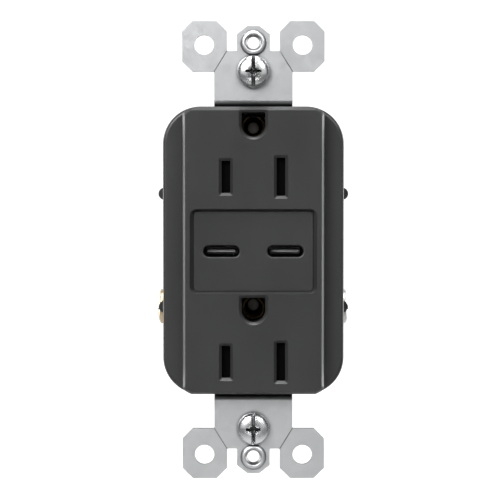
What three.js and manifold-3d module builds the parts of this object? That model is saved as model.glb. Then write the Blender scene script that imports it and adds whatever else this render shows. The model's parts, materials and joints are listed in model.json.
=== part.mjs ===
// Duplex wall outlet with tamper shutters and two USB-C charging ports, as an assembly of separate pieces.
// Millimetres. X is to the right, Y goes into the wall, Z is up. The origin is the middle of the wall plane,
// on the back of the mounting strap's ears, so the front of the outlet faces -Y.
import * as THREE from "three";
import { mergeVertices } from "three/addons/utils/BufferGeometryUtils.js";
import Module from "manifold-3d";

const wasm = await Module();
wasm.setup();

// ---------------------------------------------------------------- driving dimensions
const GAP = 0.3; // clearance kept between neighbouring pieces
const AIR = 5; // how far a cutter runs past the face that it opens
const OVERLAP = 0.2; // how far two joined shapes of one piece run into each other
const GRID = 1e-4; // corners are rounded to this, so that faces meant to be in one plane are

// depths, from the front of the face to the back of the housing
const FACE_Y = -6.6;
const SHOULDER_Y = -2.6;
const STRAP_FRONT_Y = -1.2;
const COVER_BACK_Y = 14.6;
const SEAT_Y = 15.0; // front of the strap's inner plate
const HOUSING_FRONT_Y = 14.9;
const HOUSING_BACK_Y = 36;

// front cover
const BODY = { width: 42.2, height: 67.2, radius: 8.8, edge: 0.8 };
const FACE = { width: 32.7, height: 66.3, radius: 1.4, bevelWide: 0.6, bevelDeep: 1.1 };
const COVER_WALL = 1.6;
const COVER_END_WALL = 1.7;
const FACE_WALL = 1.6;
const FACE_POCKET = { width: 29.8, height: 63.2, radius: 1 }; // room for the carrier behind the face
const LUG = { height: 2.9, proud: 1.2, root: 1, round: 1.05, z: 13.3, front: 1, back: 8 };

// the two receptacles, one above the other, and their openings
const RECEPTACLE_PITCH = 42.8;
const SLOT_DROP = 4.2; // blade slots below the receptacle's middle
const GROUND_RISE = 7.75; // ground hole above it
const BLADE_X = 6.35;
const SLOT_WIDTH = 2.0;
const HOT_SLOT_HEIGHT = 7.4;
const NEUTRAL_SLOT_HEIGHT = 8.8;
const GROUND_HOLE = { radius: 2.73, top: 2.9 };
const SLOT_CHAMFER = 0.65;

// recessed panel with the USB-C ports
const PANEL = { width: 29.4, height: 19.6, radius: 1.6, slopeWide: 0.8, slopeHigh: 0.5, depth: 1.1, thick: 2 };
const PANEL_FLANGE = { width: 29, height: 20.4, radius: 1, thick: 1 };
const PORT_X = 7.4;
const PORT = { width: 8.3, height: 2.65, mouth: 0.25 };
const SHELL = { width: 9.0, height: 3.3, radius: 1.6, wall: 0.3, backWall: 0.5 };
const TONGUE = { width: 6.4, thick: 0.56, front: -2.7, rootWidth: 7.2, rootHeight: 1.8, rootDeep: 2.5 };

// mounting strap
const SHEET = 1.2;
const BEND_INSIDE = 0.4;
const BEND_OUTSIDE = BEND_INSIDE + SHEET;
const NECK_WIDTH = 18.26;
const NECK_END_Z = 35.4; // where the sheet turns back beside the body
const STRAP_TOP_Z = 53.45;
const EAR = { inner: 6.18, outer: 16.58, bottom: 41.74, chamfer: 2.4 };
const TAB = { halfWidth: 3.85, top: 52.3, chamferX: 2.46, chamferZ: 1.9 };
const NOTCH_Z = 46.5;
const EAR_HOLE = { x: 11.47, z: 47.93, radius: 2.3 };
const PLATE_HOLE = { z: 48.42, radius: 1.42, foot: 3.02, ridge: 2.15, high: 0.8, mouth: 2.0, mouthDeep: 1.15 };
const SCORE = { wide: 0.35, deep: 0.25 };
const SEAT_WINDOW = { halfWidth: 6.5, halfHeight: 3.5 }; // lets the ribbon through the strap's inner plate
const GROUND_TAB = { left: 9.5, right: 17.7, armBottom: 27 };

// mounting screws, number 6-32
const MOUNT_SCREW = { z: 41.67, headRadius: 3.75, headHigh: 2.3, shankRadius: 1.7, tip: 22 };
const MOUNT_SLOT = { width: 6.2, height: 4.2, radius: 2 };
const MOUNT_DRIVE = { slotHalf: 0.46, slotDeep: 1.15, crossReach: 1.85, crossHalf: 0.35, crossDeep: 1.7 };
const RETAINER = { side: 8, thick: 0.6, front: 7.0 };

// side terminals
const TERMINAL = { y: 20.5, z: -14.5, headTop: 23.6, headRadius: 4.3, headHigh: 2.6, shankRadius: 2.05 };
const GROUND_TERMINAL = { x: 13.6, y: 20.5, headTop: 33.75 };
const TERMINAL_SLOT = { half: 0.6, deep: 1.1 };
const CLAMP = { side: 8.4, thick: 1.1, radius: 1 };
const BRASS_SHEET = 0.8;
const TERMINAL_REACH = 4.2; // how far the parts that carry a terminal go past its screw

// contacts: X distances from the middle, and depths
const BUS = {
  spine: [12.6, 13.4], spineFront: 3,
  grips: [[5.1, 5.6], [7.1, 7.6]], gripFront: 1,
  web: [5.1, 12.8], webFront: 13,
  armFrom: 13.2, armHalf: 3.5,
};
const SLEEVE = { inner: 2.25, outer: 2.65, front: 2.0, flange: 0.5, slitHalfAngle: Math.PI / 7 };

// contact carrier
const CARRIER = { width: 29.6, height: 63, radius: 4, front: -0.9, skin: 1.5 };
const CARRIER_WINDOW = { halfWidth: 12.5, halfHeight: 9 };
const GRIP_ROOM = { inner: 4.8, outer: 13.7, halfHeight: 5 };
const SPINE_ROOM_INNER = 12.3;
const ARM_ROOM = { outer: 20, front: 12.7, halfHeight: 3.8 };
const BLADE_ROOM = { halfWidth: 1.3, halfHeight: 4.7 };
const INSULATION = { width: 18.4, height: 46, front: 17.5, back: 17.9, windowHalfWidth: 5.5, windowHalfHeight: 2 };

// assembly screws: two above the terminals and two below
const ASSEMBLY_SPOTS = [
  { name: "upper_left", x: -17.2, z: 20.5 },
  { name: "upper_right", x: 17.2, z: 20.5 },
  { name: "lower_left", x: -17.2, z: -25.6 },
  { name: "lower_right", x: 17.2, z: -25.6 },
];
const ASSEMBLY_SCREW = {
  radius: 1.1, hole: 1.4, boss: 2.1, headRadius: 2.1, headHigh: 1.5, tip: 3.5,
  crossReach: 1.2, crossHalf: 0.3, crossDeep: 0.8,
};

// rear housing
const HOUSING = { width: 40, height: 62, radius: 5, wall: 1.6 };
const POCKET = { inner: 12.6, halfHeight: 5.3, pastScrew: 5.1, wall: 1.3 };
const GROUND_POCKET = { left: 9.2, bottom: 24.8, rightWall: 3 };
const SCREW_SINK = 1.2; // how far the assembly screws' heads are sunk
const VENT = { xs: [-8, -2.7, 2.7, 8], halfWidth: 1.5, z: [19, 20], deep: 2.5 };

const RIVET = { headRadius: 1.7, headHigh: 0.4, shankRadius: 1.0, hole: 1.3, tail: 0.8, edge: 0.3, front: 1.5 };

// shutters behind the blade slots
const SHUTTER_TRAVEL = 3.0;
const SHUTTER = { left: -12, right: 8.5, height: 10, front: -4.7, back: -2.9 };
const SHUTTER_WINDOW = { halfWidth: 1.2, end: 0.5 };
const SPRING = { radius: 0.68, wire: 0.16, turns: 5, left: 8.8, right: 13.3 };
const SHUTTER_HOLDER = { halfWidth: 14.3, halfHeight: 5.6, thick: 1.4, tabHalf: 2, leftTab: 12.5, rightTab: 13.6 };

// circuit boards
const USB_BOARD = { halfWidth: 12.2, halfHeight: 8.7, front: 5.8, thick: 1.4 };
const POWER_BOARD = { halfWidth: 17.6, halfHeight: 28.8, front: 32.4, thick: 1.4 };
const RIBBON = { halfWidth: 4, halfThick: 0.25, plugHalfWidth: 4.6, plugHalfHeight: 1.2, plugDeep: 2.2 };
const TRANSFORMER = { halfWidth: 5, deep: 12.5, halfHeight: 7.5, windowY: [10, 2.5], windowZ: [2.5, 5.8] };
const WINDING = { halfWidth: 6.5, y: [9.7, 2.8], halfHeight: 5.5, boreHalfWidth: 5.3, boreHalfHeight: 2.8 };
const CHOKE = { inner: 1.6, outer: 4.9, half: 2.2, round: [0.3, 0.5] };
const FUSE = { capRadius: 1.8, tubeRadius: 1.6, half: 4.5, capFrom: 2.8 };
const WIRE_RADIUS = 0.8;

const RECEPTACLES = [
  { name: "upper", middle: RECEPTACLE_PITCH / 2 },
  { name: "lower", middle: -RECEPTACLE_PITCH / 2 },
].map((r) => ({ name: r.name, slotZ: r.middle - SLOT_DROP, groundZ: r.middle + GROUND_RISE }));
const SIDES = [
  { name: "hot", hand: "left", sign: -1, slotHeight: HOT_SLOT_HEIGHT },
  { name: "neutral", hand: "right", sign: 1, slotHeight: NEUTRAL_SLOT_HEIGHT },
];

// ---------------------------------------------------------------- finishes
const finish = (color, roughness, metalness) => new THREE.MeshStandardMaterial({ color, roughness, metalness });
const FINISHES = {
  graphite: () => finish(0x37383a, 0.45, 0),
  darkPlastic: () => finish(0x2a2b2d, 0.5, 0),
  innerPlastic: () => finish(0x29282a, 0.6, 0),
  strapSteel: () => finish(0xb9bbbd, 0.4, 1),
  screwSteel: () => finish(0xc4c6c8, 0.25, 1),
  springSteel: () => finish(0x9fa2a5, 0.3, 1),
  brass: () => finish(0xb08d4e, 0.35, 1),
  nickel: () => finish(0xc2c3be, 0.3, 1),
  greenSteel: () => finish(0x4d7a55, 0.4, 1),
  board: () => finish(0x1f5a3a, 0.5, 0),
  ferrite: () => finish(0x3a3a3c, 0.8, 0),
  windingTape: () => finish(0xd2b23a, 0.5, 0),
  capacitorSleeve: () => finish(0x23262e, 0.4, 0),
  ceramicBlue: () => finish(0x2f5f93, 0.5, 0),
  chipBlack: () => finish(0x18191a, 0.5, 0),
  fibre: () => finish(0x8a8275, 0.9, 0),
  wireBlack: () => finish(0x1b1b1c, 0.5, 0),
  wireWhite: () => finish(0xdcdad2, 0.5, 0),
};

// ---------------------------------------------------------------- shapes and solids
// A closed three.js geometry as a solid that can be joined and cut.
function solidOf(geometry) {
  const bare = geometry.clone();
  bare.deleteAttribute("normal");
  bare.deleteAttribute("uv");
  const position = bare.attributes.position;
  position.array.forEach((value, i) => { position.array[i] = Math.round(value / GRID) * GRID; });
  const merged = mergeVertices(bare);
  const corners = merged.index.array;
  const kept = [];
  for (let i = 0; i < corners.length; i += 3) {
    const [a, b, c] = [corners[i], corners[i + 1], corners[i + 2]];
    if (a !== b && b !== c && a !== c) kept.push(a, b, c);
  }
  return new wasm.Manifold(
    new wasm.Mesh({
      numProp: 3,
      vertProperties: new Float32Array(merged.attributes.position.array),
      triVerts: new Uint32Array(kept),
    }),
  );
}

function geometryOf(solid) {
  const mesh = solid.getMesh();
  const geometry = new THREE.BufferGeometry();
  geometry.setAttribute("position", new THREE.BufferAttribute(new Float32Array(mesh.vertProperties), 3));
  geometry.setIndex(new THREE.BufferAttribute(new Uint32Array(mesh.triVerts), 1));
  geometry.computeVertexNormals();
  return geometry;
}

const join = (first, ...others) => others.reduce((whole, part) => whole.add(part), first);
const cut = (first, ...cutters) => cutters.reduce((whole, part) => whole.subtract(part), first);

// A box between two corners, given as a pair of limits for each axis in either order.
function block([xa, xb], [ya, yb], [za, zb]) {
  const geometry = new THREE.BoxGeometry(Math.abs(xb - xa), Math.abs(yb - ya), Math.abs(zb - za));
  geometry.translate((xa + xb) / 2, (ya + yb) / 2, (za + zb) / 2);
  return solidOf(geometry);
}

// A round bar along one axis, at (x, y, z) on the other two.
function bar(axis, radius, [from, to], { x = 0, y = 0, z = 0 }, sides = 12) {
  const geometry = new THREE.CylinderGeometry(radius, radius, to - from, sides);
  const middle = (from + to) / 2;
  if (axis === "x") geometry.rotateZ(Math.PI / 2).translate(middle, y, z);
  if (axis === "y") geometry.translate(x, middle, z);
  if (axis === "z") geometry.rotateX(Math.PI / 2).translate(x, y, middle);
  return solidOf(geometry);
}

// A closed profile of [radius, height] points turned round the Y axis.
function turned(profile, sides = 14) {
  return solidOf(new THREE.LatheGeometry(profile.map(([r, h]) => new THREE.Vector2(r, h)), sides));
}

// An outline drawn in X and Z, run from yFront to yBack.
function plate(shape, yFront, yBack, curveSegments = 4) {
  const geometry = new THREE.ExtrudeGeometry(shape, { depth: yBack - yFront, bevelEnabled: false, curveSegments });
  return solidOf(geometry.rotateX(Math.PI / 2).translate(0, yBack, 0));
}

// The same, with its edges at both ends taken back by bevelWide over bevelDeep.
function bevelledPlate(shape, yFront, yBack, bevelWide, bevelDeep, bevelSegments = 1, curveSegments = 4) {
  const geometry = new THREE.ExtrudeGeometry(shape, {
    depth: yBack - yFront - 2 * bevelDeep,
    bevelSize: bevelWide,
    bevelOffset: -bevelWide,
    bevelThickness: bevelDeep,
    bevelSegments,
    curveSegments,
  });
  return solidOf(geometry.rotateX(Math.PI / 2).translate(0, yBack - bevelDeep, 0));
}

// A cutter for an opening's sloped mouth: wider than the outline at the surface, and the outline at its depth.
function mouth(shape, surfaceY, wide, deep, curveSegments = 4) {
  const geometry = new THREE.ExtrudeGeometry(shape, {
    depth: AIR,
    bevelSize: wide,
    bevelThickness: deep,
    bevelSegments: 1,
    curveSegments,
  });
  return solidOf(geometry.rotateX(Math.PI / 2).translate(0, surfaceY, 0));
}

// A convex solid between two outlines of one kind, each drawn in X and Z at its own depth.
function tapered(frontShape, frontY, backShape, backY, curveSegments = 4) {
  const ring = (shape, y) => shape.getPoints(curveSegments).map((point) => [point.x, y, point.y]);
  const corners = [...ring(frontShape, frontY), ...ring(backShape, backY)];
  const count = corners.length / 2;
  const index = [];
  for (let k = 0; k < count; k++) {
    const next = (k + 1) % count;
    index.push(k, k + count, next, next, k + count, next + count);
  }
  for (let k = 1; k < count - 1; k++) index.push(0, k, k + 1, count, count + k + 1, count + k);
  const geometry = new THREE.BufferGeometry();
  geometry.setAttribute("position", new THREE.BufferAttribute(new Float32Array(corners.flat()), 3));
  geometry.setIndex(index);
  return solidOf(geometry);
}

function rect(width, height, x = 0, z = 0) {
  const [w, h] = [width / 2, height / 2];
  const corners = [[x + w, z + h], [x - w, z + h], [x - w, z - h], [x + w, z - h]];
  return new THREE.Shape(corners.map(([cx, cz]) => new THREE.Vector2(cx, cz)));
}

function roundedRect(width, height, radius, x = 0, z = 0) {
  const [w, h] = [width / 2, height / 2];
  const shape = new THREE.Shape();
  shape.absarc(x + w - radius, z + h - radius, radius, 0, Math.PI / 2);
  shape.absarc(x - w + radius, z + h - radius, radius, Math.PI / 2, Math.PI);
  shape.absarc(x - w + radius, z - h + radius, radius, Math.PI, 1.5 * Math.PI);
  shape.absarc(x + w - radius, z - h + radius, radius, 1.5 * Math.PI, 2 * Math.PI);
  shape.closePath();
  return shape;
}

// Flat on top and round below, as the hole for a ground pin is.
function groundHoleShape(z, extra = 0) {
  const radius = GROUND_HOLE.radius + extra;
  const top = z + GROUND_HOLE.top + extra;
  const shape = new THREE.Shape();
  shape.moveTo(radius, top);
  shape.lineTo(-radius, top);
  shape.absarc(0, z, radius, Math.PI, 2 * Math.PI);
  shape.closePath();
  return shape;
}

// ---------------------------------------------------------------- the assembly
const outlet = new THREE.Group();

function addPiece(name, solid, finishName, place = {}) {
  const mesh = new THREE.Mesh(geometryOf(solid), FINISHES[finishName]());
  mesh.name = name;
  if (place.at) mesh.position.set(...place.at);
  if (place.turn) mesh.rotation.set(...place.turn);
  (place.group ?? outlet).add(mesh);
}

// ---------------------------------------------------------------- casing
function frontCover() {
  const skirtTopY = SHOULDER_Y + COVER_WALL;
  const body = roundedRect(BODY.width, BODY.height, BODY.radius);
  const room = roundedRect(
    BODY.width - 2 * COVER_WALL, BODY.height - 2 * COVER_END_WALL, BODY.radius - COVER_WALL);
  const pocket = roundedRect(FACE_POCKET.width, FACE_POCKET.height, FACE_POCKET.radius);
  const face = bevelledPlate(
    roundedRect(FACE.width, FACE.height, FACE.radius), FACE_Y, 0, FACE.bevelWide, FACE.bevelDeep, 2, 2);
  const faceRoom = plate(body, FACE_Y - 1, 1, 6); // the body's round corners also clip the face's
  let cover = join(
    bevelledPlate(body, SHOULDER_Y, COVER_BACK_Y, BODY.edge, BODY.edge, 2, 8),
    face.intersect(faceRoom),
  );
  cover = cut(
    cover,
    plate(room, skirtTopY, COVER_BACK_Y + AIR),
    plate(pocket, FACE_Y + FACE_WALL, skirtTopY + OVERLAP, 2),
  );
  for (const spot of ASSEMBLY_SPOTS) {
    cover = cover.add(bar("y", ASSEMBLY_SCREW.boss, [skirtTopY - OVERLAP, COVER_BACK_Y], spot, 10));
    cover = cover.subtract(bar("y", ASSEMBLY_SCREW.hole, [2, COVER_BACK_Y + AIR], spot, 10));
  }
  for (const r of RECEPTACLES) {
    const ground = groundHoleShape(r.groundZ);
    cover = cut(cover, plate(ground, FACE_Y - AIR, 0.5), mouth(ground, FACE_Y, SLOT_CHAMFER, SLOT_CHAMFER));
    cover = cover.subtract(bar("y", GROUND_HOLE.radius + GAP, [0, COVER_BACK_Y + AIR], { z: r.groundZ }));
    for (const side of SIDES) {
      const slot = rect(SLOT_WIDTH, side.slotHeight, side.sign * BLADE_X, r.slotZ);
      cover = cut(cover, plate(slot, FACE_Y - AIR, 0), mouth(slot, FACE_Y, SLOT_CHAMFER, SLOT_CHAMFER));
    }
  }
  const floor = roundedRect(
    PANEL.width - 2 * PANEL.slopeWide, PANEL.height - 2 * PANEL.slopeHigh, PANEL.radius - PANEL.slopeWide);
  const rim = roundedRect(PANEL.width, PANEL.height, PANEL.radius);
  cover = cut(
    cover,
    plate(floor, FACE_Y, 0, 2),
    plate(rim, FACE_Y - AIR, FACE_Y, 2),
    tapered(rim, FACE_Y, floor, FACE_Y + PANEL.depth, 2),
  );
  for (const end of [-1, 1]) {
    const strapRoom = [end * (NECK_END_Z - BEND_OUTSIDE - GAP), end * (BODY.height / 2 + AIR)];
    const halfRoom = NECK_WIDTH / 2 + GAP;
    cover = cover.subtract(block([-halfRoom, halfRoom], [STRAP_FRONT_Y, COVER_BACK_Y + AIR], strapRoom));
    for (const hand of [-1, 1]) {
      const width = LUG.proud + LUG.root;
      const middle = BODY.width / 2 + LUG.proud - width / 2;
      const lug = roundedRect(width, LUG.height, LUG.round, hand * middle, end * LUG.z);
      cover = cover.add(plate(lug, LUG.front, LUG.back, 3));
    }
  }
  return cover;
}

function usbPanel() {
  const floorY = FACE_Y + PANEL.depth;
  const backY = floorY + PANEL.thick;
  const flangeY = backY - PANEL_FLANGE.thick;
  const width = PANEL.width - 2 * (PANEL.slopeWide + GAP);
  const height = PANEL.height - 2 * (PANEL.slopeHigh + GAP);
  const flange = roundedRect(PANEL_FLANGE.width, PANEL_FLANGE.height, PANEL_FLANGE.radius);
  let panel = join(
    plate(roundedRect(width, height, PANEL.radius - PANEL.slopeWide - GAP), floorY, flangeY, 2),
    plate(flange, flangeY - OVERLAP, backY, 2),
  );
  for (const sign of [-1, 1]) {
    const port = roundedRect(PORT.width, PORT.height, PORT.height / 2 - 0.01, sign * PORT_X);
    panel = cut(panel, plate(port, floorY - AIR, floorY + AIR), mouth(port, floorY, PORT.mouth, PORT.mouth));
  }
  return panel;
}

function rearHousing() {
  const { width, height, radius, wall } = HOUSING;
  const room = roundedRect(width - 2 * wall, height - 2 * wall, radius - wall);
  let housing = cut(
    plate(roundedRect(width, height, radius), HOUSING_FRONT_Y, HOUSING_BACK_Y),
    plate(room, HOUSING_FRONT_Y - AIR, HOUSING_BACK_Y - wall),
  );
  const pocketBack = TERMINAL.y + POCKET.pastScrew;
  const shellDepth = [HOUSING_FRONT_Y, pocketBack + POCKET.wall];
  const pocketDepth = [HOUSING_FRONT_Y - AIR, pocketBack];
  for (const side of SIDES) {
    const pocketX = [side.sign * POCKET.inner, side.sign * (width / 2 + AIR)];
    const shellX = [side.sign * (POCKET.inner - POCKET.wall), side.sign * (width / 2)];
    const [low, high] = [TERMINAL.z - POCKET.halfHeight, TERMINAL.z + POCKET.halfHeight];
    housing = housing.add(block(shellX, shellDepth, [low - POCKET.wall, high + POCKET.wall]));
    housing = housing.subtract(block(pocketX, pocketDepth, [low, high]));
  }
  const { left, bottom, rightWall } = GROUND_POCKET;
  housing = housing.add(block(
    [left - POCKET.wall, width / 2 - rightWall], shellDepth, [bottom - POCKET.wall, height / 2]));
  housing = housing.subtract(block([left, width], pocketDepth, [bottom, height]));
  for (const spot of ASSEMBLY_SPOTS) {
    const sinkY = [HOUSING_BACK_Y - SCREW_SINK, HOUSING_BACK_Y + AIR];
    housing = housing.add(bar("y", ASSEMBLY_SCREW.boss, [HOUSING_FRONT_Y, HOUSING_BACK_Y - OVERLAP], spot, 10));
    housing = cut(
      housing,
      bar("y", ASSEMBLY_SCREW.hole, [HOUSING_FRONT_Y - AIR, HOUSING_BACK_Y + AIR], spot, 10),
      bar("y", ASSEMBLY_SCREW.headRadius + GAP, sinkY, spot, 12),
    );
  }
  const halfRoom = NECK_WIDTH / 2 + GAP;
  const strapRoom = block([-halfRoom, halfRoom], [HOUSING_FRONT_Y - 1, SEAT_Y + SHEET + GAP], [-height, height]);
  const rivetRoomY = [HOUSING_FRONT_Y - 1, SEAT_Y + SHEET + RIVET.tail + GAP];
  const rivetRoom = bar("y", RIVET.headRadius + GAP, rivetRoomY, { z: RECEPTACLES[0].groundZ });
  housing = cut(housing, strapRoom, rivetRoom);
  for (const x of VENT.xs) {
    const across = [x - VENT.halfWidth, x + VENT.halfWidth];
    housing = housing.subtract(block(across, [HOUSING_BACK_Y - VENT.deep, HOUSING_BACK_Y + AIR], VENT.z));
  }
  return housing;
}

// Carries the contacts behind the face, with a window for the USB parts.
function contactCarrier() {
  const { width, height, radius, front, skin } = CARRIER;
  const back = COVER_BACK_Y - GAP;
  const roomY = front + skin;
  const through = [front - AIR, back + AIR];
  const toBack = [roomY, back + AIR];
  const windowX = [-CARRIER_WINDOW.halfWidth, CARRIER_WINDOW.halfWidth];
  const windowZ = [-CARRIER_WINDOW.halfHeight, CARRIER_WINDOW.halfHeight];
  let carrier = plate(roundedRect(width, height, radius), front, back, 3);
  carrier = carrier.subtract(block(windowX, through, windowZ));
  for (const r of RECEPTACLES) {
    const around = (half) => [r.slotZ - half, r.slotZ + half];
    carrier = carrier.subtract(plate(groundHoleShape(r.groundZ, 0.1), front - AIR, roomY + OVERLAP));
    carrier = carrier.subtract(bar("y", GROUND_HOLE.radius + GAP, toBack, { z: r.groundZ }));
    for (const side of SIDES) {
      const x = side.sign * BLADE_X;
      const gripX = [side.sign * GRIP_ROOM.outer, side.sign * GRIP_ROOM.inner];
      const bladeX = [x - BLADE_ROOM.halfWidth, x + BLADE_ROOM.halfWidth];
      carrier = cut(
        carrier,
        block(gripX, toBack, around(GRIP_ROOM.halfHeight)),
        block(bladeX, [front - AIR, back], around(BLADE_ROOM.halfHeight)),
      );
    }
  }
  for (const side of SIDES) {
    const spineX = [side.sign * GRIP_ROOM.outer, side.sign * SPINE_ROOM_INNER];
    const spineZ = [RECEPTACLES[1].slotZ - GRIP_ROOM.halfHeight, RECEPTACLES[0].slotZ + GRIP_ROOM.halfHeight];
    const armX = [side.sign * ARM_ROOM.outer, side.sign * SPINE_ROOM_INNER];
    const armZ = [TERMINAL.z - ARM_ROOM.halfHeight, TERMINAL.z + ARM_ROOM.halfHeight];
    carrier = cut(carrier, block(spineX, toBack, spineZ), block(armX, [ARM_ROOM.front, back + AIR], armZ));
  }
  return carrier;
}

// Keeps the strap off the power board, with a window for the ribbon.
function insulationSheet() {
  const { width, height, front, back, windowHalfWidth, windowHalfHeight } = INSULATION;
  const ribbonWindow = block(
    [-windowHalfWidth, windowHalfWidth], [front - 1, back + 1], [-windowHalfHeight, windowHalfHeight]);
  return plate(roundedRect(width, height, 1), front, back, 2).subtract(ribbonWindow);
}

// ---------------------------------------------------------------- mounting strap
function strapEndShape() {
  const { inner, outer, bottom, chamfer } = EAR;
  const neck = NECK_WIDTH / 2;
  const right = [
    [neck, NECK_END_Z],
    [neck, bottom],
    [outer - chamfer, bottom],
    [outer, bottom + chamfer],
    [outer, STRAP_TOP_Z - chamfer],
    [outer - chamfer, STRAP_TOP_Z],
    [inner + chamfer, STRAP_TOP_Z],
    [inner, STRAP_TOP_Z - chamfer],
    [inner, NOTCH_Z],
    [TAB.halfWidth, NOTCH_Z],
    [TAB.halfWidth, TAB.top - TAB.chamferZ],
    [TAB.halfWidth - TAB.chamferX, TAB.top],
  ];
  const left = right.map(([x, z]) => [-x, z]).reverse();
  return new THREE.Shape([...right, ...left].map(([x, z]) => new THREE.Vector2(x, z)));
}

// The sheet's path from the neck, back beside the body, and in behind the cover, drawn in Y and Z.
function strapBendShape() {
  const joinZ = NECK_END_Z + 1;
  const firstY = STRAP_FRONT_Y + BEND_OUTSIDE;
  const secondY = SEAT_Y - BEND_INSIDE;
  const legZ = NECK_END_Z - BEND_OUTSIDE;
  const secondZ = legZ - BEND_INSIDE;
  const shape = new THREE.Shape();
  shape.moveTo(STRAP_FRONT_Y, joinZ);
  shape.absarc(firstY, NECK_END_Z, BEND_OUTSIDE, Math.PI, 1.5 * Math.PI, false);
  shape.absarc(secondY, secondZ, BEND_INSIDE, Math.PI / 2, 0, true);
  shape.lineTo(SEAT_Y, secondZ - 3);
  shape.lineTo(SEAT_Y + SHEET, secondZ - 3);
  shape.absarc(secondY, secondZ, BEND_OUTSIDE, 0, Math.PI / 2, false);
  shape.absarc(firstY, NECK_END_Z, BEND_INSIDE, 1.5 * Math.PI, Math.PI, true);
  shape.lineTo(STRAP_FRONT_Y + SHEET, joinZ);
  shape.closePath();
  return shape;
}

// The rounded ring pressed up round a plate hole, still closed in the middle.
function plateHoleRing() {
  const { foot, ridge, high } = PLATE_HOLE;
  const crest = [90, 60, 30, 0].map((angle) => {
    const a = (angle * Math.PI) / 180;
    return [ridge + (foot - ridge) * Math.cos(a), -high * Math.sin(a)];
  });
  const profile = [[0, -high], ...crest, [foot, OVERLAP], [0, OVERLAP]];
  return turned(profile, 20).translate(0, STRAP_FRONT_Y, PLATE_HOLE.z);
}

// The steep funnel from the top of the ring down to the tapped hole.
function plateHoleThroat() {
  const { radius, high, mouth: mouthRadius, mouthDeep } = PLATE_HOLE;
  const profile = [
    [0, -high - 1],
    [mouthRadius, -high - 1],
    [mouthRadius, -high],
    [radius, mouthDeep - high],
    [radius, AIR],
    [0, AIR],
  ];
  return turned(profile, 20).translate(0, STRAP_FRONT_Y, PLATE_HOLE.z);
}

function strapEnd() {
  const bend = new THREE.ExtrudeGeometry(strapBendShape(), {
    depth: NECK_WIDTH,
    bevelEnabled: false,
    curveSegments: 5,
  });
  const toYZ = new THREE.Matrix4().makeBasis(
    new THREE.Vector3(0, 1, 0), new THREE.Vector3(0, 0, 1), new THREE.Vector3(1, 0, 0));
  const mountSlot = roundedRect(MOUNT_SLOT.width, MOUNT_SLOT.height, MOUNT_SLOT.radius, 0, MOUNT_SCREW.z);
  let end = join(
    plate(strapEndShape(), STRAP_FRONT_Y, 0),
    solidOf(bend.applyMatrix4(toYZ).translate(-NECK_WIDTH / 2, 0, 0)),
    plateHoleRing(),
  );
  end = cut(end, plateHoleThroat(), plate(mountSlot, -AIR, AIR, 4));
  const scoreRun = { x: NECK_WIDTH / 2 - EAR.inner, z: NOTCH_Z - EAR.bottom };
  const scoreLength = Math.hypot(scoreRun.x, scoreRun.z) + 1;
  for (const hand of [-1, 1]) {
    end = end.subtract(bar("y", EAR_HOLE.radius, [-AIR, AIR], { x: hand * EAR_HOLE.x, z: EAR_HOLE.z }, 16));
    const score = new THREE.BoxGeometry(SCORE.wide, 2 * SCORE.deep, scoreLength);
    score.rotateY(-hand * Math.atan2(scoreRun.x, scoreRun.z));
    score.translate(hand * (NECK_WIDTH / 2 + EAR.inner) / 2, STRAP_FRONT_Y, (NOTCH_Z + EAR.bottom) / 2);
    end = end.subtract(solidOf(score));
  }
  return end;
}

function mountingStrap() {
  const seat = [SEAT_Y, SEAT_Y + SHEET];
  const plateEndZ = NECK_END_Z - BEND_OUTSIDE - BEND_INSIDE - 1;
  const tabTop = GROUND_TERMINAL.headTop - TERMINAL.headHigh - CLAMP.thick - 2 * GAP;
  const tabZ = [tabTop - SHEET, tabTop];
  const upper = strapEnd();
  const { halfWidth, halfHeight } = SEAT_WINDOW;
  let strap = join(
    upper,
    upper.mirror([0, 0, 1]),
    block([-NECK_WIDTH / 2, NECK_WIDTH / 2], seat, [-plateEndZ, plateEndZ]),
    block([NECK_WIDTH / 2 - 1, GROUND_TAB.right], seat, [GROUND_TAB.armBottom, tabZ[1]]),
    block([GROUND_TAB.left, GROUND_TAB.right], [SEAT_Y, GROUND_TERMINAL.y + TERMINAL_REACH], tabZ),
  );
  strap = cut(
    strap,
    block([-halfWidth, halfWidth], [SEAT_Y - 1, SEAT_Y + 2], [-halfHeight, halfHeight]),
    bar("z", TERMINAL.shankRadius + GAP, [tabZ[0] - 1, tabZ[1] + 1], GROUND_TERMINAL),
  );
  for (const r of RECEPTACLES) {
    strap = strap.subtract(bar("y", RIVET.hole, [SEAT_Y - 1, SEAT_Y + 2], { z: r.groundZ }, 12));
  }
  return strap;
}

// ---------------------------------------------------------------- contacts
// One stamped brass piece for each pole: a spine, a pair of grips behind each slot, and the terminal arm.
function bus(side) {
  const across = ([a, b]) => [side.sign * a, side.sign * b];
  const halfGrip = side.slotHeight / 2;
  const back = BUS.webFront + BRASS_SHEET;
  const armZ = [TERMINAL.z - BUS.armHalf, TERMINAL.z + BUS.armHalf];
  const spineZ = [RECEPTACLES[1].slotZ - halfGrip, RECEPTACLES[0].slotZ + halfGrip];
  const legOuter = TERMINAL.headTop - TERMINAL.headHigh - CLAMP.thick - 2 * GAP;
  const legInner = legOuter - BRASS_SHEET;
  let contact = join(
    block(across(BUS.spine), [BUS.spineFront, back], spineZ),
    block(across([BUS.armFrom, legOuter]), [BUS.webFront, back], armZ),
    block(across([legInner, legOuter]), [BUS.webFront, TERMINAL.y + TERMINAL_REACH], armZ),
  );
  for (const r of RECEPTACLES) {
    const z = [r.slotZ - halfGrip, r.slotZ + halfGrip];
    contact = contact.add(block(across(BUS.web), [BUS.webFront, back], z));
    for (const grip of BUS.grips) {
      contact = contact.add(block(across(grip), [BUS.gripFront, back], z));
    }
  }
  const hole = across([legInner - 1, legOuter + 1]).sort((a, b) => a - b);
  return contact.subtract(bar("x", TERMINAL.shankRadius + GAP, hole, TERMINAL));
}

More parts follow.
